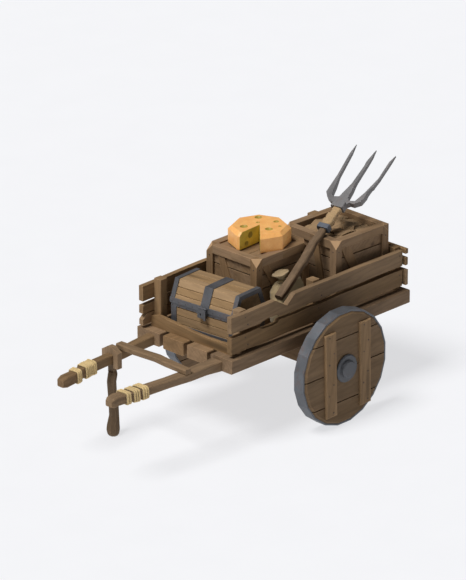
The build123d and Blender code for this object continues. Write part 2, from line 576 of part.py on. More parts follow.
# lid irons: rim band, end bands and middle strap that follow the slopes, end frames, riveted into one
HINGE_X, HINGE_Z = -CHEST_D - 6.0, 160.0     # axis of the lid's hinge
HASP_X, HASP_Z = 9.5, 180.0                  # axis of the hasp's hinge
HASP_Y = 237.5
with BuildPart(CHEST) as chest_lid_irons:
    # bands over the lid
    for y0, wdt in ((0.0, 27.0), (209.0, 57.0), (CHEST_L - 27.0, 27.0)):
        with BuildSketch(Plane(origin=CHEST.origin + CHEST.y_dir * (y0 + wdt), x_dir=CHEST.x_dir, z_dir=-CHEST.y_dir)):
            with BuildLine():
                Polyline((0, 156), (0, 166), (-CHEST_SET + 1, CHEST_TOP_Z), (-CHEST_D + CHEST_SET - 1, CHEST_TOP_Z),
                         (-CHEST_D, 166), (-CHEST_D, 156), (-CHEST_D + 3.6, 156), (-CHEST_D + 3.6, 166.1),
                         (-CHEST_D + CHEST_SET + 4.7, CHEST_TOP_Z - 3.6), (-CHEST_SET - 4.7, CHEST_TOP_Z - 3.6), (-3.6, 166.1), (-3.6, 156), close=True)
            make_face()
        extrude(amount=wdt)
    # rim band
    for xc in (-1.8, -CHEST_D + 1.8):
        with Locations((xc, CHEST_L / 2, 171)):
            Box(3.6, CHEST_L, 30)
    # end frames
    for y0 in (4.6, CHEST_L):
        with BuildSketch(Plane(origin=CHEST.origin + CHEST.y_dir * y0, x_dir=CHEST.x_dir, z_dir=-CHEST.y_dir)):
            with BuildLine():
                Polyline((0, 156), (0, 166), (-CHEST_SET + 1, CHEST_TOP_Z), (-CHEST_D + CHEST_SET - 1, CHEST_TOP_Z),
                         (-CHEST_D, 166), (-CHEST_D, 156), close=True)
            make_face()
            with BuildLine():
                Polyline((-36, 186), (-CHEST_SET - 18, CHEST_TOP_Z - 25), (-CHEST_D + CHEST_SET + 18, CHEST_TOP_Z - 25), (-CHEST_D + 36, 186), close=True)
            make_face(mode=Mode.SUBTRACT)
        extrude(amount=4.6)
    # thickened strap end, where the hasp hangs, with its two knuckles
    with Locations((1.8, HASP_Y, 169)):
        Box(5.6, 57, 26)
    with Locations((4.7, HASP_Y - 20.75, 178), (4.7, HASP_Y + 20.75, 178)):
        Box(9.4, 11.5, 8)
    with Locations((HASP_X, HASP_Y - 20.75, HASP_Z), (HASP_X, HASP_Y + 20.75, HASP_Z)):
        with Locations(Rotation(90, 0, 0)):
            Cylinder(4.4, 11.5)
    with Locations((HASP_X, HASP_Y, HASP_Z)):
        with Locations(Rotation(90, 0, 0)):
            Cylinder(2.01, 80, mode=Mode.SUBTRACT)
    # hinge knuckles behind the rim
    for yc in (110, CHEST_L - 110):
        with Locations((HINGE_X + 3, yc, HINGE_Z + 3.4)):
            Box(8, 30, 4)
        with Locations((HINGE_X, yc, HINGE_Z)):
            with Locations(Rotation(90, 0, 0)):
                Cylinder(5.5, 30)
                Cylinder(3.05, 40, mode=Mode.SUBTRACT)
    # the hasp's pin, a separate rod in the knuckles
    with Locations((HASP_X, HASP_Y, HASP_Z)):
        with Locations(Rotation(90, 0, 0)):
            Cylinder(2.0, 55)
chest_lid_irons.part.label = "chest_lid_irons"
export_step(chest_lid_irons.part, "parts/chest_lid_irons.step")

# hinges of the box: a leaf and two knuckles each, with the pin through them
with BuildPart(CHEST) as chest_hinges:
    for yc in (110, CHEST_L - 110):
        with Locations((-CHEST_D + 4.3, yc, 130)):
            Box(3, 66, 44)
        for dy in (-24.4, 24.4):
            with Locations((HINGE_X, yc + dy, HINGE_Z)):
                with Locations(Rotation(90, 0, 0)):
                    Cylinder(5.5, 18)
            with Locations((-CHEST_D - 1.2, yc + dy, 150.2)):
                Box(14, 18, 3.6)
            with Locations((HINGE_X, yc + dy, 153.5)):
                Box(4, 18, 8)
        with Locations((HINGE_X, yc, HINGE_Z)):
            with Locations(Rotation(90, 0, 0)):
                Cylinder(3.0, 66.8)
chest_hinges.part.label = "chest_hinges"
export_step(chest_hinges.part, "parts/chest_hinges.step")

# lock box on the front, with its keyhole
with BuildPart(CHEST) as chest_lock:
    with Locations((1.4, 232.5, 138)):
        Box(12.4, 47, 32)
    with Locations((2, 224, 146)):
        with Locations(Rotation(0, 90, 0)):
            Cylinder(4.0, 30, mode=Mode.SUBTRACT)
    with Locations((2, 224, 139)):
        Box(30, 3.6, 12, mode=Mode.SUBTRACT)
chest_lock.part.label = "chest_lock"
export_step(chest_lock.part, "parts/chest_lock.step")

# hasp: hangs from the strap's end over the lock box, with a thicker tongue on its left
with BuildPart(CHEST) as chest_hasp:
    with Locations((10.9, 232.5, 148)):
        Box(5, 59, 52)
    with Locations((12.9, 254.0, 144.5)):
        Box(9, 16, 59)
    chamfer(chest_hasp.edges().filter_by(Axis.Z), 1.2)
    with Locations((10.9, HASP_Y, 176)):
        Box(5, 28.6, 6)
    with Locations((HASP_X, HASP_Y, HASP_Z)):
        with Locations(Rotation(90, 0, 0)):
            Cylinder(4.4, 28.6)
            Cylinder(2.05, 60, mode=Mode.SUBTRACT)
    # key opening
    with Locations((10.9, 224, 146)):
        with Locations(Rotation(0, 90, 0)):
            Cylinder(5.5, 30, mode=Mode.SUBTRACT)
    with Locations((10.9, 224, 139)):
        Box(30, 5.5, 14, mode=Mode.SUBTRACT)
chest_hasp.part.label = "chest_hasp"
export_step(chest_hasp.part, "parts/chest_hasp.step")

# ---------------------------------------------------------------- crates
# local frame: origin at the crate's centre on the bed
C1L, C1W, C1H = 413.0, 378.0, 390.0
C2L, C2W, C2H = 412.0, 400.0, 394.0
POST = 46.0              # frame member width
CRATE1 = Plane(origin=(X(136.5), -61.0, BED_Z1), x_dir=(1, 0, 0), z_dir=(0, 0, 1))
CRATE2 = Plane(origin=(X(-351.2), 67.5, BED_Z1), x_dir=(cos(radians(-1.5)), sin(radians(-1.5)), 0), z_dir=(0, 0, 1))

with BuildPart(CRATE1) as crate_1_frame:
    for sx in (1, -1):
        for sy in (1, -1):
            with Locations((sx * (C1L - POST) / 2, sy * (C1W - POST) / 2, C1H / 2)):
                Box(POST, POST, C1H)
            # cut corner at the top of each post
            with Locations((sx * C1L / 2, sy * C1W / 2, C1H)):
                with Locations(Rotation(0, 0, {(1, 1): 45, (-1, 1): 135, (-1, -1): 225, (1, -1): 315}[(sx, sy)])):
                    with Locations(Rotation(0, -35.26, 0)):
                        Box(50, 90, 90, mode=Mode.SUBTRACT)
    for z in (C1H - POST / 2, POST / 2):
        for sx in (1, -1):
            with Locations((sx * (C1L - POST) / 2, 0, z)):
                Box(POST, C1W - 2 * POST - 2 * SEAM, POST)
        for sy in (1, -1):
            with Locations((0, sy * (C1W - POST) / 2, z)):
                Box(C1L - 2 * POST - 2 * SEAM, POST, POST)
crate_1_frame.part.label = "crate_1_frame"
export_step(crate_1_frame.part, "parts/crate_1_frame.step")

# boards behind the frame, four a side, and the crate's floor
with BuildPart(CRATE1) as crate_1_boards:
    zs = [POST + 1, 118, 205, 285, C1H - POST - 1]
    for z0, z1 in zip(zs, zs[1:]):
        for sx in (1, -1):
            with Locations((sx * (C1L / 2 - 22), 0, (z0 + z1) / 2)):
                Box(14, C1W - 2 * POST - 2, z1 - z0 - 8)
        for sy in (1, -1):
            with Locations((0, sy * (C1W / 2 - 22), (z0 + z1) / 2)):
                Box(C1L - 2 * POST - 2, 14, z1 - z0 - 8)
    with Locations((0, 0, 10)):
        Box(C1L - 2 * POST - 2, C1W - 2 * POST - 2, 16)
    # top boards let into the frame
    ww = (C1W - 2 * POST - 2) / 4
    for k in range(4):
        with Locations((0, -1.5 * ww + k * ww, C1H - 16)):
            Box(C1L - 2 * POST - 2, ww - 4, 16)
crate_1_boards.part.label = "crate_1_boards"
export_step(crate_1_boards.part, "parts/crate_1_boards.step")

# a leaning brace on each side
with BuildPart(CRATE1) as crate_1_braces:
    with BuildSketch(Plane(origin=CRATE1.origin + Vector(C1L / 2 - 5, 0, 0), x_dir=(0, 1, 0), z_dir=(1, 0, 0))):
        with BuildLine():
            Polyline((-112, C1H - 47), (-62, C1H - 47), (66, 47), (16, 47), close=True)
        make_face()
    extrude(amount=-9)
    with BuildSketch(Plane(origin=CRATE1.origin + Vector(-C1L / 2 + 5, 0, 0), x_dir=(0, 1, 0), z_dir=(1, 0, 0))):
        with BuildLine():
            Polyline((112, C1H - 47), (62, C1H - 47), (-66, 47), (-16, 47), close=True)
        make_face()
    extrude(amount=9)
    with BuildSketch(Plane(origin=CRATE1.origin + Vector(0, C1W / 2 - 5, 0), x_dir=(1, 0, 0), z_dir=(0, -1, 0))):
        with BuildLine():
            Polyline((159, C1H - 47), (110, C1H - 47), (-76, 47), (-24, 47), close=True)
        make_face()
    extrude(amount=9)
    with BuildSketch(Plane(origin=CRATE1.origin + Vector(0, -C1W / 2 + 5, 0), x_dir=(1, 0, 0), z_dir=(0, -1, 0))):
        with BuildLine():
            Polyline((159, C1H - 47), (110, C1H - 47), (-76, 47), (-24, 47), close=True)
        make_face()
    extrude(amount=-9)
crate_1_braces.part.label = "crate_1_braces"
export_step(crate_1_braces.part, "parts/crate_1_braces.step")

with BuildPart(CRATE2) as crate_2_frame:
    for sx in (1, -1):
        for sy in (1, -1):
            with Locations((sx * (C2L - POST) / 2, sy * (C2W - POST) / 2, C2H / 2)):
                Box(POST, POST, C2H)
            if (sx, sy) != (-1, 1):
                with Locations((sx * C2L / 2, sy * C2W / 2, C2H)):
                    with Locations(Rotation(0, 0, {(1, 1): 45, (-1, 1): 135, (-1, -1): 225, (1, -1): 315}[(sx, sy)])):
                        with Locations(Rotation(0, -35.26, 0)):
                            Box(50, 90, 90, mode=Mode.SUBTRACT)
    for z in (C2H - POST / 2, POST / 2):
        for sx in (1, -1):
            with Locations((sx * (C2L - POST) / 2, 0, z)):
                Box(POST, C2W - 2 * POST - 2 * SEAM, POST)
        for sy in (1, -1):
            with Locations((0, sy * (C2W - POST) / 2, z)):
                Box(C2L - 2 * POST - 2 * SEAM, POST, POST)
crate_2_frame.part.label = "crate_2_frame"
export_step(crate_2_frame.part, "parts/crate_2_frame.step")

with BuildPart(CRATE2) as crate_2_boards:
    zs = [POST + 1, 118, 205, 285, C2H - POST - 1]
    for z0, z1 in zip(zs, zs[1:]):
        for sx in (1, -1):
            with Locations((sx * (C2L / 2 - 22), 0, (z0 + z1) / 2)):
                Box(14, C2W - 2 * POST - 2, z1 - z0 - 8)
        for sy in (1, -1):
            with Locations((0, sy * (C2W / 2 - 22), (z0 + z1) / 2)):
                Box(C2L - 2 * POST - 2, 14, z1 - z0 - 8)
    with Locations((0, 0, 10)):
        Box(C2L - 2 * POST - 2, C2W - 2 * POST - 2, 16)
crate_2_boards.part.label = "crate_2_boards"
export_step(crate_2_boards.part, "parts/crate_2_boards.step")

with BuildPart(CRATE2) as crate_2_braces:
    with BuildSketch(Plane(origin=CRATE2.origin + CRATE2.x_dir * (C2L / 2 - 5), x_dir=CRATE2.y_dir, z_dir=CRATE2.x_dir)):
        with BuildLine():
            Polyline((12, C2H - 47), (58, C2H - 47), (122, 47), (76, 47), close=True)
        make_face()
    extrude(amount=-9)
    with BuildSketch(Plane(origin=CRATE2.origin + CRATE2.y_dir * (C2W / 2 - 5), x_dir=CRATE2.x_dir, z_dir=-CRATE2.y_dir)):
        with BuildLine():
            Polyline((159, C2H - 47), (96, C2H - 47), (-62, 47), (0, 47), close=True)
        make_face()
    extrude(amount=9)
crate_2_braces.part.label = "crate_2_braces"
export_step(crate_2_braces.part, "parts/crate_2_braces.step")

# loose lumps heaped in the open crate, as one settled mass
with BuildPart(CRATE2) as crate_2_fill:
    with Locations((0, 0, 184)):
        Box(C2L - 2 * POST - 8, C2W - 2 * POST - 8, 324)
    # lumps: x, y, top z, radius
    for (a, b, h, r) in ((-92, -84, 384, 62), (84, -88, 372, 58), (92, 82, 370, 60), (-84, 84, 380, 64), (4, 0, 384, 66), (-100, 4, 366, 48), (96, -4, 364, 46)):
        with Locations((a, b, h - 24)):
            Cone(r, r * 0.55, 48)
crate_2_fill.part.label = "crate_2_fill"
export_step(crate_2_fill.part, "parts/crate_2_fill.step")

# ---------------------------------------------------------------- cheese
CHEESE_Z = BED_Z1 + C1H
CHEESE_R = 172.5
CHEESE_H = 98.0
# eyes in the cut face: x, y, height above the crate, radius
CUT_EYES = ((204.5, -52.1, 64, 20), (235.4, -49.8, 23, 16))
with BuildPart() as cheese:
    with BuildSketch(Plane.XY.offset(CHEESE_Z)):
        with Locations((X(126), -58)):
            RegularPolygon(CHEESE_R, 8, major_radius=True, rotation=0)
    extrude(amount=CHEESE_H)
    chamfer(cheese.faces().sort_by(Axis.Z)[-1].edges(), 20)
    # the missing wedge
    with BuildSketch(Plane(origin=(X(126), -58, CHEESE_Z - 1))):
        with BuildLine():
            Polyline((0, 0), (300, 22.6), (300, 120), (212, 212), close=True)
        make_face()
    extrude(amount=CHEESE_H + 2, mode=Mode.SUBTRACT)
    # eyes in the top: x, y, radius at the surface
    for (a, b, r) in ((202.6, -102.5, 21), (50.6, -140.5, 20), (28.6, -26.5, 15), (136.6, 22, 21), (107.6, -88.5, 10), (64.6, 36.5, 9)):
        d = 0.5 * r
        with Locations((X(a), b, CHEESE_Z + CHEESE_H + (r * r + d * d) / (2 * d) - d)):
            Sphere((r * r + d * d) / (2 * d), mode=Mode.SUBTRACT)
    # and in the cut face
    for (a, b, z, r) in CUT_EYES:
        with Locations((X(a), b + 8, CHEESE_Z + z)):
            Sphere(r, mode=Mode.SUBTRACT)
cheese.part.label = "cheese"
export_step(cheese.part, "parts/cheese.step")

# ---------------------------------------------------------------- pitchfork
# local frame: x along the handle towards the tines, y to the right, z out of the tines' face
FORK_YAW, FORK_RISE = 9.5, 29.1
FDX = (-cos(radians(FORK_RISE)) * cos(radians(FORK_YAW)), -cos(radians(FORK_RISE)) * sin(radians(FORK_YAW)), sin(radians(FORK_RISE)))
FNZ = (sin(radians(FORK_RISE)) * cos(radians(FORK_YAW)), sin(radians(FORK_RISE)) * sin(radians(FORK_YAW)), cos(radians(FORK_RISE)))
FORK = Plane(origin=(X(257.0), 217.7, 706.8), x_dir=FDX, z_dir=FNZ)
# handle stations: along, across (towards the cart's left), width, thickness
HANDLE = [(-12, 1, 46, 32), (50, 3, 50, 38), (125, 4, 44, 38), (225, 0.5, 42, 40), (262, 2.5, 46, 40), (350, -7, 46, 38), (395, -13, 42, 34),
          (438, -8, 42, 31), (484, -7.5, 42, 29), (494, -9.5, 38, 26), (560, -8, 30, 26), (690, -8, 28, 24)]
with BuildPart() as fork_handle:
    for s in HANDLE:
        with BuildSketch(Plane(origin=FORK.origin + FORK.x_dir * s[0] - FORK.y_dir * s[1], x_dir=FORK.y_dir, z_dir=FORK.x_dir)):
            Rectangle(s[2], s[3])
            chamfer(vertices(), 6)
    loft(ruled=True)
fork_handle.part.label = "fork_handle"
export_step(fork_handle.part, "parts/fork_handle.step")

with BuildPart() as fork_ferrule:
    with BuildSketch(Plane(origin=FORK.origin + FORK.x_dir * 497, x_dir=FORK.y_dir, z_dir=FORK.x_dir)):
        with Locations((11, 0)):
            Rectangle(72, 44)
            chamfer(vertices(), 4)
    extrude(amount=30)
    for t, w, a, b in ((490, -11, 44, 29), (540, -10.5, 44, 29)):
        with BuildSketch(Plane(origin=FORK.origin + FORK.x_dir * t - FORK.y_dir * w, x_dir=FORK.y_dir, z_dir=FORK.x_dir)):
            Rectangle(a, b)
    loft(ruled=True, mode=Mode.SUBTRACT)
fork_ferrule.part.label = "fork_ferrule"
export_step(fork_ferrule.part, "parts/fork_ferrule.step")

# cloth binding between the ferrule and the socket, in three steps
with BuildPart() as fork_binding:
    for t0, t1, w0, w1, c in ((528, 566, 64, 58, -8), (567, 606, 56, 50, -10), (607, 654, 44, 52, -5)):
        for t, w in ((t0, w0), (t1, w1)):
            with BuildSketch(Plane(origin=FORK.origin + FORK.x_dir * t - FORK.y_dir * c, x_dir=FORK.y_dir, z_dir=FORK.x_dir)):
                Rectangle(w, w * 0.72)
                chamfer(vertices(), 6)
        loft(ruled=True)
    for t, w, a, b in ((520, -10.5, 43, 28), (600, -9.5, 38, 28), (665, -8.4, 34, 27)):
        with BuildSketch(Plane(origin=FORK.origin + FORK.x_dir * t - FORK.y_dir * w, x_dir=FORK.y_dir, z_dir=FORK.x_dir)):
            Rectangle(a, b)
    loft(ruled=True, mode=Mode.SUBTRACT)
fork_binding.part.label = "fork_binding"
export_step(fork_binding.part, "parts/fork_binding.step")

# forged head: socket, shoulders and three tines that taper to points
HEAD = [(684, -60), (712, -104), (743, -128), (874, -129), (1038, -143), (1104, -138), (1040, -129), (872, -114), (740, -90), (722, -72),
        (732, -36), (836, -15), (972, -12), (1005, -16), (1037, -12), (1097, -4), (1051, 2), (986, 5), (836, 7), (737, 16), (718, 35),
        (726, 70), (798, 94), (911, 116), (1040, 114), (1089, 128), (1044, 127), (905, 125), (845, 119), (838, 113), (800, 106), (776, 110),
        (730, 104), (703, 72), (705, 46), (690, 30)]
with BuildPart() as fork_head:
    with BuildSketch(Plane(origin=FORK.origin + FORK.z_dir * 14, x_dir=FORK.x_dir, z_dir=FORK.z_dir)):
        with BuildLine():
            Polyline(*[(a, -b) for a, b in HEAD], close=True)
        make_face()
    extrude(amount=-34)
    # the tines thin towards their tips
    with BuildSketch(Plane(origin=FORK.origin - FORK.y_dir * 200, x_dir=FORK.x_dir, z_dir=FORK.y_dir)):
        with BuildLine():
            Polyline((800, 40), (800, 20), (860, 9), (1040, 2), (1110, -7), (1110, 40), close=True)
        make_face()
    extrude(amount=400, mode=Mode.SUBTRACT)
    # socket over the handle's end
    with BuildSketch(Plane(origin=FORK.origin + FORK.x_dir * 656, x_dir=FORK.y_dir, z_dir=FORK.x_dir)):
        with Locations((9, 0)):
            Rectangle(78, 46)
            chamfer(vertices(), 4)
    extrude(amount=40)
    with BuildSketch(Plane(origin=FORK.origin + FORK.x_dir * 650 + FORK.y_dir * 8.3, x_dir=FORK.y_dir, z_dir=FORK.x_dir)):
        Rectangle(36, 27)
    extrude(amount=40.5, mode=Mode.SUBTRACT)
fork_head.part.label = "fork_head"
export_step(fork_head.part, "parts/fork_head.step")

# ---------------------------------------------------------------- sack
# grain sack standing between the near crate and the side planks: z, x, y, length, width, corner
SACK = [(520, 147, 192, 240, 92, 40), (546, 147, 192, 272, 106, 44), (616, 147, 191.5, 286, 113, 46), (660, 147, 191.5, 282, 111, 46), (674, 146, 184, 272, 88, 38), (685, 145, 160, 268, 52, 24), (716, 143, 160, 258, 50, 24), (741, 137, 158.5, 226, 46, 22), (756, 132, 157.5, 184, 38, 18), (761, 120, 157.5, 130, 26, 12)]
with BuildPart() as grain_sack:
    for s in SACK:
        with BuildSketch(Plane.XY.offset(s[0])):
            with Locations((X(s[1]), s[2])):
                RectangleRounded(s[3], s[4], s[5])
    loft(ruled=True)
    # gathered neck and flared mouth
    for z, a, b, l, w in ((757, 181, 158, 38, 28), (763, 182, 159, 32, 25), (771, 183, 160, 33, 26), (779, 184, 160.5, 46, 33), (793, 186, 160.5, 92, 43), (806, 187, 160, 120, 47)):
        with BuildSketch(Plane.XY.offset(z)):
            with Locations((X(a), b)):
                Ellipse(l / 2, w / 2)
    loft(ruled=True)
grain_sack.part.label = "grain_sack"
export_step(grain_sack.part, "parts/grain_sack.step")

with BuildPart() as sack_tie:
    with BuildSketch(Plane.XY.offset(761)):
        with Locations((X(182.4), 159.4)):
            Ellipse(22, 18.5)
            Ellipse(18.6, 15.3, mode=Mode.SUBTRACT)
    extrude(amount=8)
sack_tie.part.label = "sack_tie"
export_step(sack_tie.part, "parts/sack_tie.step")
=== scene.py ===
import bpy, bmesh, json, math, random
from mathutils import Vector, Matrix, noise


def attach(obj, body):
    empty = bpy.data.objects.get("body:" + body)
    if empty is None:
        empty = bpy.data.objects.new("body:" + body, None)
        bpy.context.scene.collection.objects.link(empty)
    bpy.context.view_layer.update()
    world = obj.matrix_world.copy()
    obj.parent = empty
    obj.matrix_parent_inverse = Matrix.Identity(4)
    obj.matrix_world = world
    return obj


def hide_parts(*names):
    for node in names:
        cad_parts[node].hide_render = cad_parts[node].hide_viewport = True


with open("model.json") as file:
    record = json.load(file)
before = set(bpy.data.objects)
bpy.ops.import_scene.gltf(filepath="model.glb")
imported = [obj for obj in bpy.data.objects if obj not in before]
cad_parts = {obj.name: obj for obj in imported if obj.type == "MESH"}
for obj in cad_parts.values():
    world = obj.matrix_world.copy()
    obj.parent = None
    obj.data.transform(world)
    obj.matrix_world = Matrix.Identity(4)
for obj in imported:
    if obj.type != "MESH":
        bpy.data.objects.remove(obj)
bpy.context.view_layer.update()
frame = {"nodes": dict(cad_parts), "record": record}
NODES = frame["nodes"]
DX = -0.4197                    # x of the cart's datum in the shared frame


# ------------------------------------------------------------------ material kit
class M:
    """A node material under construction."""

    def __init__(s, name):
        s.m = bpy.data.materials.new(name)
        s.m.use_nodes = True
        s.t = s.m.node_tree
        s.t.nodes.clear()
        s.out = s.t.nodes.new("ShaderNodeOutputMaterial")
        s.b = s.t.nodes.new("ShaderNodeBsdfPrincipled")
        s.t.links.new(s.b.outputs[0], s.out.inputs[0])
        s.co = s.n("ShaderNodeTexCoord").outputs["Object"]

    def n(s, kind, **kw):
        nd = s.t.nodes.new(kind)
        ins = kw.pop("ins", {})
        for k, v in kw.items():
            setattr(nd, k, v)
        for k, v in ins.items():
            if isinstance(v, bpy.types.NodeSocket):
                s.t.links.new(v, nd.inputs[k])
            else:
                nd.inputs[k].default_value = v
        return nd

    def math(s, op, a, b=0.0, clamp=False):
        return s.n("ShaderNodeMath", operation=op, use_clamp=clamp, ins={0: a, 1: b}).outputs[0]

    def rng(s, v, a, b, c=0.0, d=1.0):
        return s.n("ShaderNodeMapRange", ins={0: v, 1: a, 2: b, 3: c, 4: d}).outputs[0]

    def mix(s, f, a, b, kind="MIX"):
        nd = s.t.nodes.new("ShaderNodeMix")
        nd.data_type = "RGBA"
        nd.blend_type = kind
        for sock, v in ((nd.inputs[0], f), (nd.inputs[6], a), (nd.inputs[7], b)):
            if isinstance(v, bpy.types.NodeSocket):
                s.t.links.new(v, sock)
            else:
                sock.default_value = v if not isinstance(v, tuple) else (*v[:3], 1.0)
        return nd.outputs[2]

    def noise(s, vec, scale, detail=4.0, rough=0.55, dist=0.0):
        return s.n("ShaderNodeTexNoise", ins={"Vector": vec, "Scale": scale, "Detail": detail, "Roughness": rough, "Distortion": dist}).outputs["Fac"]

    def map(s, vec, scale=(1, 1, 1), rot=(0, 0, 0), loc=(0, 0, 0)):
        return s.n("ShaderNodeMapping", ins={"Vector": vec, "Scale": scale, "Rotation": rot, "Location": loc}).outputs[0]

    def sep(s, vec):
        return s.n("ShaderNodeSeparateXYZ", ins={0: vec}).outputs

    def comb(s, x, y, z):
        return s.n("ShaderNodeCombineXYZ", ins={0: x, 1: y, 2: z}).outputs[0]

    def vadd(s, a, b):
        return s.n("ShaderNodeVectorMath", operation="ADD", ins={0: a, 1: b}).outputs[0]

    def edge_mask(s, radius, lo=0.02, hi=0.16):
        """0 on flats, 1 along edges, from how far a rounded edge's normal turns."""
        nb = s.n("ShaderNodeBevel", samples=4, ins={"Radius": radius}).outputs[0]
        ng = s.n("ShaderNodeNewGeometry").outputs["Normal"]
        d = s.n("ShaderNodeVectorMath", operation="DOT_PRODUCT", ins={0: nb, 1: ng}).outputs["Value"]
        return s.rng(d, 1 - lo, 1 - hi)

    def finish(s, color, rough, height=None, dist=0.001, strength=0.6, round_=0.0015, metal=0.0, **ins):
        base = s.n("ShaderNodeBevel", samples=4, ins={"Radius": round_}).outputs[0] if round_ else None
        if height is not None:
            kw = {"Height": height, "Distance": dist, "Strength": strength}
            if base is not None:
                kw["Normal"] = base
            s.t.links.new(s.n("ShaderNodeBump", ins=kw).outputs[0], s.b.inputs["Normal"])
        s.t.links.new(color, s.b.inputs["Base Color"])
        s.t.links.new(rough, s.b.inputs["Roughness"])
        s.b.inputs["Metallic"].default_value = metal
        for k, v in ins.items():
            s.b.inputs[k.replace("_", " ")].default_value = v
        return s.m


def srgb(r, g, b):
    return tuple(((c / 255) / 12.92 if c / 255 <= 0.04045 else ((c / 255 + 0.055) / 1.055) ** 2.4) for c in (r, g, b))


def tint(c, k):
    return tuple(min(1, v * k) for v in c)


WOOD = srgb(137, 111, 82)


def wood(name, grain="X", base=WOOD, seed=0.0, cells=(), axis=None, worn=0.85, dirt=0.35, knots=True, painted_lit_facets=None):
    """Old sawn wood. grain: the axis the fibres run along; cells: (axis, [seams]) where one board ends and the next begins;
    axis: optional ((location), turn about z) of a local frame."""
    m = M(name)
    co = m.co
    if axis:
        (lx, ly, lz), turn = axis
        co = m.map(m.map(co, loc=(-lx, -ly, -lz)), rot=(0, 0, -turn))
    x, y, z = m.sep(co)[:3]
    idx = None
    for ax, seams in cells:
        v = {"X": x, "Y": y, "Z": z}[ax]
        for q in seams:
            g = m.math("GREATER_THAN", v, q)
            idx = g if idx is None else m.math("ADD", m.math("MULTIPLY", idx, 1.0), g)
    idx = m.math("ADD", idx, seed) if idx is not None else m.math("ADD", 0.0, seed)
    shift = m.math("MULTIPLY", idx, 1.73)
    if isinstance(grain, str):
        sc = {"X": (1.6, 14, 14), "Y": (14, 1.6, 14), "Z": (14, 14, 1.6)}[grain]
        fi = {"X": (7, 230, 230), "Y": (230, 7, 230), "Z": (230, 230, 7)}[grain]
        long_ = m.vadd(m.map(co, scale=sc), m.comb(shift, m.math("MULTIPLY", shift, 2.1), shift))
        fib = m.vadd(m.map(co, scale=fi), m.comb(shift, shift, shift))
    else:
        # posts stand upright, rails run along x or y: grain = (half length, half width, post width)
        hx, hy, pw = grain
        ex = m.math("GREATER_THAN", m.math("ABSOLUTE", x), hx - pw)
        ey = m.math("GREATER_THAN", m.math("ABSOLUTE", y), hy - pw)
        post = m.math("MULTIPLY", ex, ey)
        railx = m.math("MULTIPLY", ey, m.math("SUBTRACT", 1.0, ex))
        raily = m.math("MULTIPLY", ex, m.math("SUBTRACT", 1.0, ey))
        side = m.math("ADD", m.math("GREATER_THAN", x, 0.0), m.math("MULTIPLY", m.math("GREATER_THAN", y, 0.0), 2.0))
        lev = m.math("MULTIPLY", m.math("GREATER_THAN", z, 0.2), m.math("SUBTRACT", 1.0, post))
        idx = m.math("ADD", idx, m.math("ADD", m.math("MULTIPLY", side, 1.0), m.math("ADD", m.math("MULTIPLY", lev, 4.0), m.math("MULTIPLY", post, 9.0))))
        shift = m.math("MULTIPLY", idx, 1.73)

        def stretch(a, f):
            px = m.math("MULTIPLY", x, m.math("ADD", f, m.math("MULTIPLY", railx, a - f)))
            py = m.math("MULTIPLY", y, m.math("ADD", f, m.math("MULTIPLY", raily, a - f)))
            pz = m.math("MULTIPLY", z, m.math("ADD", f, m.math("MULTIPLY", post, a - f)))
            return m.vadd(m.comb(px, py, pz), m.comb(shift, m.math("MULTIPLY", shift, 2.1), shift))
        long_, fib = stretch(1.6, 14), stretch(7, 230)
    streak = m.noise(long_, 1.0, 6.0, 0.6, 0.9)
    rings = m.n("ShaderNodeTexWave", wave_type="BANDS", bands_direction="DIAGONAL",
                ins={"Vector": long_, "Scale": 1.3, "Distortion": 7.0, "Detail": 2.0, "Detail Scale": 1.4, "Detail Roughness": 0.6}).outputs["Fac"]
    fibre = m.noise(fib, 1.0, 3.0, 0.6)
    patch = m.noise(co, 5.0, 3.0, 0.6)
    board = m.n("ShaderNodeTexWhiteNoise", noise_dimensions="1D", ins={"W": idx}).outputs["Value"]
    c = m.mix(m.rng(streak, 0.30, 0.72), tint(base, 0.74), tint(base, 1.20))
    c = m.mix(m.math("MULTIPLY", m.rng(rings, 0.55, 1.0), 0.34), c, tint(base, 0.60))
    c = m.mix(m.math("MULTIPLY", m.rng(fibre, 0.56, 0.80), 0.45), c, tint(base, 0.50))
    c = m.mix(m.math("MULTIPLY", m.rng(patch, 0.45, 0.8), dirt), c, tint((base[0] * 0.9, base[1] * 0.92, base[2] * 0.95), 0.62))
    if knots:
        kv = m.vadd(m.map(long_, scale=(0.5, 0.5, 0.5)), m.comb(0.3, 0.7, 0.1))
        vor = m.n("ShaderNodeTexVoronoi", feature="F1", ins={"Vector": kv, "Scale": 1.0, "Randomness": 1.0}).outputs["Distance"]
        c = m.mix(m.math("MULTIPLY", m.rng(vor, 0.16, 0.05), 0.75), c, tint(base, 0.34))
    # boards differ a little
    k = m.rng(board, 0, 1, 0.88, 1.12)
    c = m.n("ShaderNodeHueSaturation", ins={"Value": k, "Saturation": m.rng(board, 0, 1, 1.08, 0.92), "Color": c}).outputs[0]
    # painted highlight and wear: the rounded edges are painted paler, partly as rubbed wood and partly as the light
    # that catches them
    w = m.math("MULTIPLY", m.edge_mask(0.0042), m.rng(m.noise(co, 26.0, 3.0), 0.30, 0.55, 0.35, 1.0), clamp=True)
    c = m.mix(m.math("MULTIPLY", w, worn), c, tint(base, 1.75))
    if painted_lit_facets:
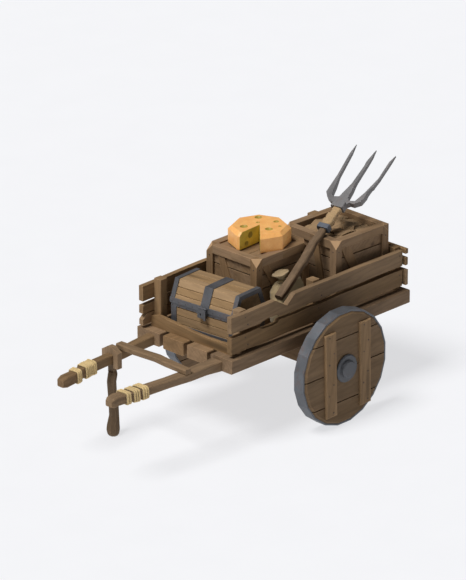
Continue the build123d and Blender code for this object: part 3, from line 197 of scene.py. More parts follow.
        # painted highlight: the cut corner facets are painted paler, as where they catch the light: half length, half
        # width, height, depth of the cut
        fx, fy, fz, cut = painted_lit_facets
        q = m.math("ADD", m.math("SUBTRACT", fx, m.math("ABSOLUTE", x)), m.math("ADD", m.math("SUBTRACT", fy, m.math("ABSOLUTE", y)), m.math("SUBTRACT", fz, z)))
        near = m.math("LESS_THAN", m.math("ABSOLUTE", m.math("SUBTRACT", q, cut)), 0.0015)
        c = m.mix(m.math("MULTIPLY", near, 0.85), c, tint(base, 1.75))
    h = m.math("ADD", m.math("MULTIPLY", streak, 0.45), m.math("ADD", m.math("MULTIPLY", rings, 0.20), m.math("MULTIPLY", fibre, 0.55)))
    r = m.rng(m.math("ADD", fibre, streak), 0.6, 1.4, 0.86, 0.62)
    return m.finish(c, r, h, dist=0.0010, strength=0.55, round_=0.0010, Specular_IOR_Level=0.28)


def iron(name, base, rust=0.22, worn=0.6, rough=(0.42, 0.66), metal=0.55, hammer=38.0, bump=0.5, edge=0.0018):
    """Forged iron: hammer dimples, scale, a little rust in the hollows and bright edges."""
    m = M(name)
    big = m.noise(m.co, 9.0, 5.0, 0.6)
    dim = m.n("ShaderNodeTexVoronoi", feature="SMOOTH_F1", ins={"Vector": m.co, "Scale": hammer, "Smoothness": 0.8}).outputs["Distance"]
    fine = m.noise(m.co, 260.0, 3.0, 0.7)
    c = m.mix(m.rng(big, 0.3, 0.7), tint(base, 0.78), tint(base, 1.18))
    c = m.mix(m.math("MULTIPLY", m.rng(fine, 0.45, 0.75), 0.35), c, tint(base, 0.55))
    spots = m.noise(m.co, 34.0, 6.0, 0.7)
    c = m.mix(m.math("MULTIPLY", m.rng(m.math("MULTIPLY", spots, m.math("ADD", big, 0.45)), 0.50, 0.66), rust), c, srgb(112, 74, 48))
    w = m.math("MULTIPLY", m.edge_mask(0.003), m.rng(m.noise(m.co, 40.0, 3.0), 0.3, 0.6), clamp=True)
    c = m.mix(m.math("MULTIPLY", w, worn), c, tint(base, 2.1))
    h = m.math("ADD", m.math("MULTIPLY", dim, 0.8), m.math("MULTIPLY", fine, 0.25))
    r = m.rng(m.math("ADD", big, m.math("MULTIPLY", fine, 0.5)), 0.4, 1.1, rough[0], rough[1])
    return m.finish(c, r, h, dist=0.0016, strength=bump, round_=edge, metal=metal, Specular_IOR_Level=0.4)


def fibre(name, base, pitch=0.0035, axis=None, dark=0.55, sheen=0.2, weave=True):
    """Coarse plant-fibre cloth or cord: crossing threads, slubs and stains."""
    m = M(name)
    x, y, z = m.sep(m.co)[:3]
    k = 2 * math.pi / pitch
    horiz = m.math("ADD", m.math("MULTIPLY", x, 1.0), m.math("MULTIPLY", y, 1.0))
    a = m.math("SINE", m.math("MULTIPLY", horiz, k))
    b = m.math("SINE", m.math("MULTIPLY", z, k))
    thread = m.math("ADD", m.math("MULTIPLY", m.math("MULTIPLY", a, b), 0.5), 0.5) if weave else m.math("ADD", m.math("MULTIPLY", b, 0.5), 0.5)
    slub = m.noise(m.map(m.co, scale=(60, 60, 300)), 1.0, 3.0, 0.6)
    slub2 = m.noise(m.map(m.co, scale=(300, 300, 60)), 1.0, 3.0, 0.6)
    stain = m.noise(m.co, 12.0, 5.0, 0.6)
    c = m.mix(m.rng(stain, 0.3, 0.75), tint(base, 1.12), tint(base, 0.78))
    c = m.mix(m.math("MULTIPLY", m.rng(slub, 0.4, 0.8), 0.4), c, tint(base, dark))
    c = m.mix(m.math("MULTIPLY", m.rng(slub2, 0.5, 0.85), 0.3), c, tint(base, 1.35))
    c = m.mix(m.math("MULTIPLY", m.math("SUBTRACT", 1.0, thread), 0.32), c, tint(base, dark))
    h = m.math("ADD", m.math("MULTIPLY", thread, 0.6), m.math("ADD", m.math("MULTIPLY", slub, 0.4), m.math("MULTIPLY", slub2, 0.4)))
    r = m.rng(slub, 0.3, 0.8, 0.95, 0.82)
    return m.finish(c, r, h, dist=0.0014, strength=0.7, round_=0.0, Sheen_Weight=sheen, Specular_IOR_Level=0.15)


def ropey(name, base):
    """Hemp: fine yarns and stray hairs. The strands themselves are geometry."""
    m = M(name)
    yarn = m.noise(m.map(m.co, scale=(420, 120, 420)), 1.0, 3.0, 0.65, 0.6)
    stain = m.noise(m.co, 16.0, 4.0, 0.6)
    c = m.mix(m.rng(stain, 0.3, 0.75), tint(base, 1.1), tint(base, 0.76))
    c = m.mix(m.math("MULTIPLY", m.rng(yarn, 0.45, 0.75), 0.5), c, tint(base, 0.55))
    # painted shade: the hollows between the strands are darkened
    w = m.n("ShaderNodeNewGeometry").outputs["Pointiness"]
    c = m.mix(m.math("MULTIPLY", m.rng(w, 0.50, 0.44), 0.5), c, tint(base, 0.40))
    # painted shade: the rope is darkened on its sides away from its outward face, as shade between the turns and
    # against the wood
    g = m.n("ShaderNodeAttribute", attribute_name="groove").outputs["Fac"]
    c = m.mix(m.math("MULTIPLY", g, 0.85), c, tint(base, 0.30))
    return m.finish(c, m.rng(yarn, 0.3, 0.8, 0.95, 0.8), yarn, dist=0.0012, strength=0.7, round_=0.0, Sheen_Weight=0.25, Specular_IOR_Level=0.15)


def assign(node, mat):
    o = NODES[node]
    o.data.materials.clear()
    o.data.materials.append(mat)
    return o


# ------------------------------------------------------------------ pieces
def add(name, bm, mats, body, smooth=None, replaces=()):
    """A bmesh as a piece that rides on a body."""
    me = bpy.data.meshes.new(name)
    bmesh.ops.recalc_face_normals(bm, faces=bm.faces)
    bm.to_mesh(me)
    bm.free()
    o = bpy.data.objects.new(name, me)
    bpy.context.collection.objects.link(o)
    for mm in (mats if isinstance(mats, (list, tuple)) else [mats]):
        me.materials.append(mm)
    if smooth is not None:
        for p in me.polygons:
            p.use_smooth = True
        if smooth < 179:
            md = o.modifiers.new("split", "EDGE_SPLIT")
            md.split_angle = math.radians(smooth)
    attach(o, body)
    if replaces:
        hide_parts(*replaces)
    return o


def ring_tube(bm, rings, closed_u=True, cap=True):
    """Skins rings of equal length. Returns nothing; the tube is closed by caps."""
    vs = [[bm.verts.new(p) for p in r] for r in rings]
    n = len(vs[0])
    for a, b in zip(vs, vs[1:]):
        for i in range(n if closed_u else n - 1):
            j = (i + 1) % n
            bm.faces.new((a[i], a[j], b[j], b[i]))
    if cap:
        bm.faces.new(list(reversed(vs[0])))
        bm.faces.new(vs[-1])


# ------------------------------------------------------------------ camera, light, floor
bpy.context.scene.world = bpy.context.scene.world or bpy.data.worlds.new("World")


def build_stage():
    a = math.radians(134.101)
    e = math.radians(23.856)
    right = Vector((math.cos(a), math.sin(a), 0))
    back = Vector((math.sin(a) * math.cos(e), -math.cos(a) * math.cos(e), math.sin(e)))
    up = back.cross(right)
    target = right * (-0.05428) + up * 0.68631
    shift = Vector((0.316 + DX, 0, -0.044))
    loc = shift + back * 25.0
    # looks at the target from there, level
    back = (loc - target - shift).normalized()
    up = (up - back * up.dot(back)).normalized()
    right = up.cross(back)
    cam = bpy.data.cameras.new("camera")
    cam.lens = 283.2
    cam.sensor_width = 36.0
    cam.clip_start, cam.clip_end = 1.0, 100.0
    co = bpy.data.objects.new("camera", cam)
    bpy.context.collection.objects.link(co)
    co.location = loc
    co.rotation_mode = "QUATERNION"
    rot = Matrix((right, up, back)).transposed()
    co.rotation_quaternion = rot.to_quaternion()
    bpy.context.scene.camera = co

    def lamp(name, direction, strength, angle, color=(1, 1, 1)):
        """A far, broad lamp: even light with soft shadows. direction: towards the lamp."""
        li = bpy.data.lights.new(name, "SUN")
        li.angle = math.radians(angle)
        li.energy = strength
        li.color = color
        ob = bpy.data.objects.new(name, li)
        ob.rotation_mode = "QUATERNION"
        ob.rotation_quaternion = Vector(direction).to_track_quat("Z", "Y")
        ob.location = Vector(direction).normalized() * 6
        bpy.context.collection.objects.link(ob)

    lamp("key", (0.475, -0.08, 0.87), KEY, 24)
    lamp("fill", (0.55, 0.60, 0.50), FILL, 60, (0.96, 0.98, 1.0))
    bpy.context.scene.view_settings.view_transform = "Standard"
    w = bpy.context.scene.world
    w.use_nodes = True
    bg = w.node_tree.nodes["Background"]
    bg.inputs[0].default_value = (0.95, 0.965, 1.0, 1)
    bg.inputs[1].default_value = WORLD
    # floor: a large pale disc
    bm = bmesh.new()
    bmesh.ops.create_circle(bm, cap_ends=True, segments=96, radius=40.0)
    me = bpy.data.meshes.new("floor")
    bm.to_mesh(me)
    bm.free()
    fl = bpy.data.objects.new("floor", me)
    bpy.context.collection.objects.link(fl)
    m = M("floor_paper")
    t = m.noise(m.co, 3.0, 3.0)
    c = m.mix(m.rng(t, 0.3, 0.7), (0.235, 0.235, 0.24), (0.245, 0.245, 0.25))
    m.finish(c, m.rng(t, 0, 1, 0.9, 0.95), t, dist=0.0005, strength=0.1, round_=0.0, Specular_IOR_Level=0.1)
    m.b.inputs["Emission Color"].default_value = (0.955, 0.96, 0.985, 1)
    m.b.inputs["Emission Strength"].default_value = 0.70
    me.materials.append(m.m)


KEY, FILL, WORLD = 3.15, 0.08, 0.12
build_stage()

# ------------------------------------------------------------------ materials of the CAD nodes
X = lambda v: v / 1000 + DX
bed = srgb(140, 112, 82)
# painted shade: the near bed plank is a darker copy of the bed wood, for the shade on the cart's near side
for i, (n, k) in enumerate((("bed_plank_far", 0.97), ("bed_plank_mid_far", 1.03), ("bed_plank_mid_near", 0.99), ("bed_plank_near", 0.74))):
    assign(n, wood("wood_" + n, "X", tint(bed, k), seed=3.0 + i))
assign("cross_bearers", wood("wood_bearers", "Y", tint(bed, 0.8), seed=11, cells=[("X", [X(0)])]))
assign("axle_bolster", wood("wood_bolster", "Y", tint(bed, 0.72), seed=12))
for s, k in (("left", 0), ("right", 1)):
    assign(s + "_wheel_boards", wood(s + "_wheel_wood", "X", tint(WOOD, 0.78), seed=20 + 9 * k, cells=[("Z", [0.141, 0.326, 0.511])], worn=1.0))
    assign(s + "_wheel_battens", wood(s + "_batten_wood", "Z", tint(WOOD, 1.14), seed=27 + 9 * k, cells=[("X", [X(76.5)])], worn=1.0))
side = srgb(142, 114, 82)
assign("stakes_near", wood("wood_stakes_near", "Z", side, seed=41, cells=[("X", [X(-300), X(400)])]))
assign("stakes_far", wood("wood_stakes_far", "Z", side, seed=45, cells=[("X", [X(-300), X(400)])]))
# painted shade: the near side planks are darker copies of the side wood, for the shade on the cart's near side
for i, n in enumerate(("side_plank_near_upper", "side_plank_near_lower", "side_plank_far_upper", "side_plank_far_middle", "side_plank_far_lower")):
    assign(n, wood("wood_" + n, "X", tint(side, (0.84, 0.80, 1.0, 0.97, 1.02)[i]), seed=50 + i))
for i, n in enumerate(("tail_board_upper", "tail_board_middle", "tail_board_lower", "front_board")):
    assign(n, wood("wood_" + n, "Y", tint(side, (1.0, 1.03, 0.97, 1.0)[i]), seed=60 + i))
shaft = srgb(129, 104, 76)
assign("shaft_near", wood("wood_shaft_near", "X", shaft, seed=70))
assign("shaft_far", wood("wood_shaft_far", "X", shaft, seed=71))
assign("cross_bar", wood("wood_cross_bar", "Y", shaft, seed=72))
assign("cross_bar_pegs", wood("wood_pegs", "Z", tint(shaft, 0.9), seed=73, knots=False))
assign("leg_collar", wood("wood_collar", "Z", tint(shaft, 1.12), seed=74))
# painted shade: the leg is a much darker copy of the shaft wood, for the shade under the shaft and collar
assign("prop_leg", wood("wood_leg", "Z", tint(shaft, 0.60), seed=75))
chest = srgb(158, 128, 92)
turn = math.radians(4.8)
CH = ((X(671.1), -0.205, 0.520), turn)
assign("chest_box_boards", wood("wood_chest_box", "Y", chest, seed=80, cells=[("Z", [0.041, 0.0865, 0.132])], axis=CH, dirt=0.25))
assign("chest_lid_boards", wood("wood_chest_lid", "Y", chest, seed=86, cells=[("Z", [0.203, 0.2405]), ("X", [-0.163, -0.105])], axis=CH, dirt=0.25))
crate = srgb(142, 114, 84)
C1 = ((X(136.5), -0.061, 0.520), 0.0)
C2 = ((X(-351.2), 0.0675, 0.520), math.radians(-1.5))
assign("crate_1_frame", wood("wood_crate_1_frame", (0.2065, 0.189, 0.0462), crate, seed=100, axis=C1, painted_lit_facets=(0.2065, 0.189, 0.390, 0.0433)))
assign("crate_2_frame", wood("wood_crate_2_frame", (0.206, 0.200, 0.0462), tint(crate, 0.98), seed=130, axis=C2, painted_lit_facets=(0.206, 0.200, 0.394, 0.0433)))


def crate_boards(name, hx, hy, base, seed, axis, top):
    """Boards of the sides run level, those of the top run along x."""
    return wood(name, "X" if top else "Y", base, seed=seed, cells=[("Z", [0.118, 0.205, 0.285, 0.36]), ("Y", [-0.07, 0.0, 0.07]) if top else ("Z", [9.0])], axis=axis, dirt=0.45)


assign("crate_1_boards", crate_boards("wood_crate_1_boards", 0.2, 0.19, tint(crate, 0.93), 160, C1, True))
assign("crate_2_boards", crate_boards("wood_crate_2_boards", 0.2, 0.2, tint(crate, 0.93), 170, C2, False))
assign("crate_1_braces", wood("wood_crate_1_braces", "Z", tint(crate, 1.03), seed=180, cells=[("X", [0.0]), ("Y", [0.0])], axis=C1))
assign("crate_2_braces", wood("wood_crate_2_braces", "Z", tint(crate, 1.03), seed=186, cells=[("X", [0.15])], axis=C2))
assign("fork_handle", wood("wood_fork_handle", "X", srgb(106, 84, 60), seed=190, axis=((X(257), 0.2177, 0.7068), 0.0), knots=False))

band = srgb(104, 105, 109)
iron_chest = iron("iron_chest", band, rust=0.25)
for n in ("chest_box_irons", "chest_lid_irons", "chest_hinges", "chest_lock"):
    assign(n, iron_chest)
assign("chest_hasp", iron("iron_hasp", tint(band, 0.92), rust=0.2))
iron_axle = iron("iron_axle", srgb(80, 80, 84), rust=0.45)
for n in ("axle_bar", "axle_straps", "axle_retainers", "leg_pin"):
    assign(n, iron_axle)
iron_tyre = iron("iron_tyre", srgb(104, 107, 112), rust=0.30, worn=0.75, hammer=24.0)
iron_hub = iron("iron_hub", srgb(92, 94, 98), rust=0.18, worn=0.9)
for s in ("left", "right"):
    assign(s + "_wheel_tyre", iron_tyre)
    assign(s + "_wheel_hub", iron_hub)
    assign(s + "_wheel_cap", iron_hub)
assign("fork_head", iron("iron_fork", srgb(122, 120, 120), rust=0.15, worn=0.0, bump=0.12, edge=0.0005))
assign("fork_ferrule", iron("iron_ferrule", srgb(100, 105, 114), rust=0.2))

# cheese: waxy rind, moist yellow paste in the cut face and in the eyes, with painted shade in the eye hollows
def cheese_mat():
    m = M("cheese")
    loc = m.map(m.co, loc=(-X(126), 0.058, -0.910))
    x, y, z = m.sep(loc)[:3]
    inx = m.math("GREATER_THAN", x, -0.003)
    # the two cut planes through the middle: one turned 4.3 degrees, one 45
    da = m.math("ABSOLUTE", m.math("SUBTRACT", m.math("MULTIPLY", y, 0.99718), m.math("MULTIPLY", x, 0.07507)))
    db = m.math("ABSOLUTE", m.math("MULTIPLY", m.math("SUBTRACT", y, x), 0.70711))
    paste = m.math("MULTIPLY", inx, m.math("MAXIMUM", m.math("LESS_THAN", da, 0.0012), m.math("LESS_THAN", db, 0.0012)))
    eye_paste_and_shade_mask = None
    # eyes: x, y, height, radius of their hollows
    eyes = [(a - 126, b + 58, 98 + 0.75 * r, 1.25 * r) for a, b, r in
            ((202.6, -102.5, 21), (50.6, -140.5, 20), (28.6, -26.5, 15), (136.6, 22, 21), (107.6, -88.5, 10), (64.6, 36.5, 9))]
    eyes += [(204.5 - 126, -52.1 + 8 + 58, 64, 20), (235.4 - 126, -49.8 + 8 + 58, 23, 16)]
    for ex, ey, ez, er in eyes:
        d = m.n("ShaderNodeVectorMath", operation="DISTANCE", ins={0: loc, 1: (ex / 1000, ey / 1000, ez / 1000)}).outputs["Value"]
        eye = m.math("LESS_THAN", d, er / 1000 + 0.0006)
        eye_paste_and_shade_mask = eye if eye_paste_and_shade_mask is None else m.math("MAXIMUM", eye_paste_and_shade_mask, eye)
    paste = m.math("MAXIMUM", paste, eye_paste_and_shade_mask)
    blot = m.noise(m.co, 22.0, 4.0, 0.6)
    fine = m.noise(m.co, 240.0, 3.0, 0.6)
    crack = m.n("ShaderNodeTexVoronoi", feature="DISTANCE_TO_EDGE", ins={"Vector": m.co, "Scale": 55.0}).outputs["Distance"]
    rind = m.mix(m.rng(blot, 0.3, 0.7), srgb(250, 190, 116), srgb(238, 170, 96))
    rind = m.mix(m.math("MULTIPLY", m.rng(fine, 0.5, 0.8), 0.35), rind, srgb(214, 142, 72))
    rind = m.mix(m.math("MULTIPLY", m.rng(crack, 0.02, 0.0), 0.25), rind, srgb(196, 124, 62))
    rind = m.mix(m.math("MULTIPLY", m.edge_mask(0.004), 0.35), rind, srgb(255, 206, 140))
    inside = m.mix(m.rng(blot, 0.3, 0.7), srgb(226, 198, 92), srgb(200, 172, 70))
    inside = m.mix(m.math("MULTIPLY", m.rng(fine, 0.45, 0.75), 0.3), inside, srgb(224, 194, 104))
    # painted shade: the paste inside the eye hollows is darkened
    inside = m.mix(m.math("MULTIPLY", eye_paste_and_shade_mask, 0.55), inside, srgb(112, 88, 24))
    c = m.mix(paste, rind, inside)
    h = m.math("ADD", m.math("MULTIPLY", fine, 0.5), m.math("MULTIPLY", blot, 0.5))
    mat = m.finish(c, m.rng(fine, 0.3, 0.8, 0.42, 0.58), h, dist=0.0010, strength=0.35, round_=0.003, Specular_IOR_Level=0.4)
    m.b.inputs["Subsurface Weight"].default_value = 0.15
    m.b.inputs["Subsurface Radius"].default_value = (0.012, 0.007, 0.003)
    m.b.inputs["Subsurface Scale"].default_value = 0.6
    return mat


assign("cheese", cheese_mat())
rope_mat = ropey("hemp_rope", srgb(218, 190, 136))
cloth_mat = fibre("sackcloth", srgb(156, 136, 102), pitch=0.0042)
# painted light: the mouth's rim and inside take a paler copy of the sackcloth, as the lit upturned mouth
mouth_lit_mat = fibre("sackcloth_mouth_lit", srgb(174, 150, 114), pitch=0.0042, dark=0.65)
for mm in (cloth_mat, mouth_lit_mat):
    # painted light: a faint constant glow on the cloth lifts its shaded side
    mm.node_tree.nodes["Principled BSDF"].inputs["Emission Color"].default_value = (*srgb(150, 136, 108), 1)
    mm.node_tree.nodes["Principled BSDF"].inputs["Emission Strength"].default_value = 0.10
cord_mat = ropey("sack_cord", srgb(176, 150, 104))
wrap_mat = fibre("fork_cloth", srgb(184, 154, 114), pitch=0.004, dark=0.6)
for n in ("binding_near", "bindings_far"):
    assign(n, rope_mat)
assign("grain_sack", cloth_mat)
assign("sack_tie", cord_mat)
assign("fork_binding", wrap_mat)
assign("crate_2_fill", wood("fill", "X", srgb(120, 94, 62), seed=7))

# ------------------------------------------------------------------ rope bindings
def pt(x, y, z):
    """Datum millimetres to the shared frame."""
    return Vector((x / 1000 + DX, y / 1000, z / 1000))


def station(table, x):
    """(y, top z, width, height) of a shaft at x, between its stations."""
    a, b = table[0], table[-1]
    for p, q in zip(table, table[1:]):
        if min(p[0], q[0]) <= x <= max(p[0], q[0]):
            a, b = p, q
            break
    t = (x - a[0]) / (b[0] - a[0])
    return [a[i] + (b[i] - a[i]) * t for i in range(1, 5)]


def strand_tube(bm, path, radius, lobes=3, lay=36.0, n=18, depth=0.16, phase=0.0):
    """A laid rope along a path of (point, outward) in millimetres: its strands turn round as it runs on."""
    rings, s = [], 0.0
    rope_shade_layer = bm.verts.layers.float.get("groove") or bm.verts.layers.float.new("groove")
    first = len(bm.verts)
    for i, (p, out) in enumerate(path):
        a = path[max(0, i - 1)][0]
        b = path[min(len(path) - 1, i + 1)][0]
        t = (b - a).normalized()
        if i:
            s += (p - path[i - 1][0]).length
        e1 = (out - t * out.dot(t)).normalized()
        e2 = t.cross(e1)
        rr = radius(s) if callable(radius) else radius
        ring = []
        for k in range(n):
            f = 2 * math.pi * k / n
            lobe = abs(math.cos(lobes / 2 * (f - 2 * math.pi * s / lay - phase)))
            rad = rr * (1 - depth + depth * 1.25 * lobe)
            q = p + e1 * (math.cos(f) * rad) + e2 * (math.sin(f) * rad)
            ring.append((q.x / 1000 + DX, q.y / 1000, q.z / 1000))
        rings.append(ring)
    ring_tube(bm, rings)
    bm.verts.ensure_lookup_table()
    # painted shade: marks the sides of the rope away from its outward face, which the rope material darkens
    for i in range(len(rings) * n):
        f = 2 * math.pi * (i % n) / n
        bm.verts[first + i][rope_shade_layer] = max(0.0, min(1.0, (0.62 - math.cos(f)) / 0.62))


def wound(bm, table, x0, x1, r, swell, seed):
    """Rope wound round a shaft from x0 to x1. swell(x): how far the coil stands out of the wood."""
    turns = max(1, round((x1 - x0) / (2 * r)) - 1)
    r = (x1 - x0) / (2 * (turns + 1))
    rnd = random.Random(seed)
    wob = [rnd.uniform(-1.0, 1.2) for _ in range(turns + 3)]
    steps = 84
    total = turns * steps + 1
    path = []
    for i in range(total):
        u = i / (total - 1)
        x = x0 + r + (x1 - x0 - 2 * r) * u
        y, top, w, h = station(table, x)
        ang = 2 * math.pi * (i / steps) + 3.9
        kt = i / steps
        j = int(kt)
        lift = (wob[j] + (wob[j + 1] - wob[j]) * (kt - j)) + swell(x) - 2 * r
        tuck = min(1.0, min(i, total - 1 - i) / 10.0)
        off = r + lift - (1 - tuck) * r * 0.9
        # rounded rectangle round the shaft, followed by arc length
        hw, hh, c = w / 2 + off, h / 2 + off, 5 + off
        hw, hh = hw, hh
        per = [2 * (hh - c), math.pi / 2 * c, 2 * (hw - c), math.pi / 2 * c] * 2
        tot = sum(per)
        d = (ang / (2 * math.pi)) % 1.0 * tot
        cy, cz, ny, nz = hw, -(hh - c), 1.0, 0.0
        pos = None
        corner = [((hw, -(hh - c)), (0, 1), (1, 0)), (hw - c, hh - c, 0), ((hw - c, hh), (-1, 0), (0, 1)), (-(hw - c), hh - c, 90),
                  ((-hw, hh - c), (0, -1), (-1, 0)), (-(hw - c), -(hh - c), 180), ((-(hw - c), -hh), (1, 0), (0, -1)), (hw - c, -(hh - c), 270)]
        for seg, L in zip(corner, per):
            if d <= L:
                if isinstance(seg[0], tuple):
                    (sy, sz), (dy, dz), (ny, nz) = seg
                    pos = (sy + dy * d, sz + dz * d)
                else:
                    a = math.radians(seg[2]) + d / c
                    ny, nz = math.cos(a), math.sin(a)
                    pos = (seg[0] + c * ny, seg[1] + c * nz)
                break
            d -= L
        if pos is None:
            pos = (hw, -(hh - c))
        path.append((Vector((x + rnd.uniform(-0.12, 0.12), y + pos[0], top - h / 2 + pos[1])), Vector((0, ny, nz))))
    strand_tube(bm, path, r, phase=seed)


def swells(rows):
    def f(x):
        for a, b, s in rows:
            if a - 1 <= x <= b + 1:
                return s
        return rows[-1][2]
    return f


NEAR = [(1270, 228, 503, 60, 48), (1400, 212, 503, 60, 52), (1480, 200, 503, 62, 54)]
FAR = [(1160, -281, 461, 50, 55), (1260, -268, 461, 50, 55), (1350, -250, 461, 54, 57), (1430, -242, 461, 60, 58)]
bm = bmesh.new()
wound(bm, NEAR, 1287, 1344, 7.1, lambda x: 13.4, 1)
wound(bm, NEAR, 1345, 1399, 6.7, lambda x: 12.0, 2)
wound(bm, NEAR, 1400, 1447, 7.8, lambda x: 11.6, 3)
add("rope_near", bm, rope_mat, "cart", smooth=180, replaces=("binding_near",))
bm = bmesh.new()
wound(bm, FAR, 1178, 1282.5, 6.5, swells([(1178, 1204, 13.2), (1204, 1231, 10.8), (1231, 1257, 12.6), (1257, 1283, 10.6)]), 4)
wound(bm, FAR, 1309, 1360, 6.4, swells([(1309, 1335, 12.0), (1335, 1361, 10.4)]), 7)
add("rope_far", bm, rope_mat, "cart", smooth=180, replaces=("bindings_far",))

# ------------------------------------------------------------------ cloth wound round the fork's neck
FO = Vector((257, 217.7, 706.8))
FX = Vector((-0.8618, -0.1442, 0.4863)).normalized()
FZ = Vector((0.4797, 0.0803, 0.8738)).normalized()
FY = FZ.cross(FX).normalized()


def fork_wrap():
    """A strip of sackcloth wound in overlapping turns, in three bunches."""
    bm = bmesh.new()
    prof = [(529, 54, 9.6), (532, 57, 9.4), (548, 62, 9), (561, 66, 8.4), (565, 63, 8.2), (570, 51, 8.6), (574, 52, 9.4), (588, 57, 9.6), (602, 60, 9.2), (606, 57, 8.8),
            (612, 43, 7.6), (618, 43.5, 6.8), (636, 49, 5.8), (650, 54, 5.0), (654, 51, 5.0)]
    seams = [529, 541.5, 554, 567, 580, 593.5, 607, 618, 629.5, 641.5, 654]

    def at(t):
        t = max(prof[0][0], min(prof[-1][0], t))
        for a, b in zip(prof, prof[1:]):
            if a[0] <= t <= b[0]:
                k = (t - a[0]) / (b[0] - a[0])
                return a[1] + (b[1] - a[1]) * k, a[2] + (b[2] - a[2]) * k
        return prof[-1][1:]

    n, steps = 72, 150
    rings = []
    for i in range(steps + 1):
        t = 529 + (654 - 529) * i / steps
        ring = []
        for k in range(n):
            f = 2 * math.pi * k / n
            # the turns climb as they go round
            ts = t + 12.0 * (((k / n) + 0.30) % 1.0 - 0.5)
            w, c = at(t)
            w0, _ = at(t)
            lap = 0.0
            for a, b in zip(seams, seams[1:]):
                if a <= ts < b:
                    q = (ts - a) / (b - a)
                    lap = 2.4 * q - 0.8 if q < 0.90 else 1.36 - 2.16 * (q - 0.90) / 0.10
            edge = min(1.0, (t - 529) / 1.5, (654 - t) / 1.5)
            cr, sr = math.cos(f), math.sin(f)
            hw, hh = w / 2, w * 0.36
            p = 3.4
            m = (abs(cr / hw) ** p + abs(sr / hh) ** p) ** (-1 / p)
            wr = noise.noise(Vector((t * 0.16, cr * 1.3 + 3, sr * 1.3))) * 1.6 + noise.noise(Vector((t * 0.5, cr * 2.2, sr * 2.2 + 5))) * 0.7
            m += (lap + wr) * edge - (1 - edge) * 1.6
            off = FX * t + FY * (c + m * cr) + FZ * (m * sr)
            ring.append(tuple((FO + off) / 1000 + Vector((DX, 0, 0))))
        rings.append(ring)
    ring_tube(bm, rings)
    # the strip's loose end, tucked under the last turn
    rows = []
    for i in range(15):
        u = i / 14
        c = FO + FX * (600 - 26 * u) + FY * (9 - 27.5 - 1.6 * math.sin(3 * u)) + FZ * (2 - 17 * u)
        side = (FX * 0.80 + FZ * 0.60).normalized()
        wd = 9 * (1 - 0.25 * u) + 0.8 * math.sin(9 * u)
        thick = FY * -0.9
        row = []
        for s, h in ((-1, 0), (-0.5, 0.3), (0, 0.5), (0.5, 0.3), (1, 0), (1, -1), (0, -1), (-1, -1)):
            row.append(tuple((c + side * wd * s + thick * h + FY * (-1.2 * math.sin(2.4 * u + s))) / 1000 + Vector((DX, 0, 0))))
        rows.append(row)
    ring_tube(bm, rows)
    return bm


add("fork_wraps", fork_wrap(), wrap_mat, "pitchfork", smooth=60, replaces=("fork_binding",))

# ------------------------------------------------------------------ the crate's load: flat broken cakes
def heap():
    """Angular flat pieces, tipped one over another, filling the open crate almost to its rim."""
    bm = bmesh.new()
    rnd = random.Random(12)
    cen = Vector((-351.2, 67.5, 520))
    turn = Matrix.Rotation(math.radians(-1.5), 3, "Z")
    hx, hy, ztop = 153.0, 147.0, 391.0

    def chunk(x, y, z, a, b, c, tilt, yaw, n=13):
        rot = Matrix.Rotation(yaw, 3, "Z") @ Matrix.Rotation(tilt, 3, "X")
        pts = []
        for k in range(n):
            f = 2 * math.pi * (k * 0.381966 * 1.0 + rnd.uniform(-0.05, 0.05))
            zz = 1 - 2 * (k + 0.5) / n
            rr = math.sqrt(max(0.0, 1 - zz * zz)) * rnd.uniform(0.92, 1.12)
            v = Vector((rr * math.cos(f) * a, rr * math.sin(f) * b, max(-0.62, min(0.62, zz)) * c))
            v = rot @ v + Vector((x, y, z))
            v = Vector((max(-hx, min(hx, v.x)), max(-hy, min(hy, v.y)), min(ztop, v.z)))
            v = turn @ v + cen
            pts.append(bm.verts.new((v.x / 1000 + DX, v.y / 1000, v.z / 1000)))
        r = bmesh.ops.convex_hull(bm, input=pts, use_existing_faces=False)
        bad = [v for v in set(r.get("geom_interior", []) + r.get("geom_unused", [])) if isinstance(v, bmesh.types.BMVert)]
        if bad:
            bmesh.ops.delete(bm, geom=bad, context="VERTS")

    for i in range(4):
        for j in range(4):
            chunk(-114 + 76 * i + rnd.uniform(-8, 8), -110 + 73 * j + rnd.uniform(-8, 8), 330 + rnd.uniform(-5, 5), 70, 62, 44, rnd.uniform(-0.2, 0.2), rnd.uniform(0, 6.28))
    # broad slabs, each leaning on the next
    for x, y, z, a, b, tilt, roll, yaw in ((-98, -92, 358, 84, 58, 0.22, 0.1, 0.4), (10, -104, 362, 80, 50, -0.18, 0.2, 0.1), (104, -84, 358, 62, 66, 0.24, 0.0, 1.9),
                                           (-104, 10, 362, 62, 60, -0.24, 0.1, 1.2), (0, -20, 366, 92, 54, 0.26, -0.1, 2.7), (104, 14, 360, 58, 70, -0.22, 0.1, 0.3),
                                           (-84, 98, 358, 78, 52, 0.24, 0.1, 0.2), (20, 84, 364, 84, 54, -0.28, 0.1, 2.9), (108, 102, 356, 56, 54, 0.2, 0.1, 1.0),
                                           (-46, 44, 372, 66, 44, 0.30, 0.1, 0.9), (56, 38, 372, 60, 40, -0.32, 0.1, 2.3)):
        chunk(x, y, z + 9, a, b, 17, tilt * 0.72, yaw, 12)
    return bm


fill_mat = wood("cakes", "X", srgb(150, 122, 89), seed=7, knots=False, dirt=0.5)
add("crate_2_heap", heap(), fill_mat, "cart", replaces=("crate_2_fill",))

# ------------------------------------------------------------------ sack: body by cloth simulation, then folds, mouth and tie
SC = [(521, 147, 192, 232, 90, 38), (546, 147, 192, 262, 100, 42), (616, 147, 191.5, 276, 107, 44), (660, 147, 191.5, 270, 104, 44), (674, 146, 184, 260, 82, 36), (685, 145, 162, 256, 48, 22),
      (716, 143, 160, 246, 46, 21), (741, 137, 158.5, 214, 42, 19), (754, 132, 157.5, 168, 34, 16), (761, 125, 157.5, 100, 24, 11)]


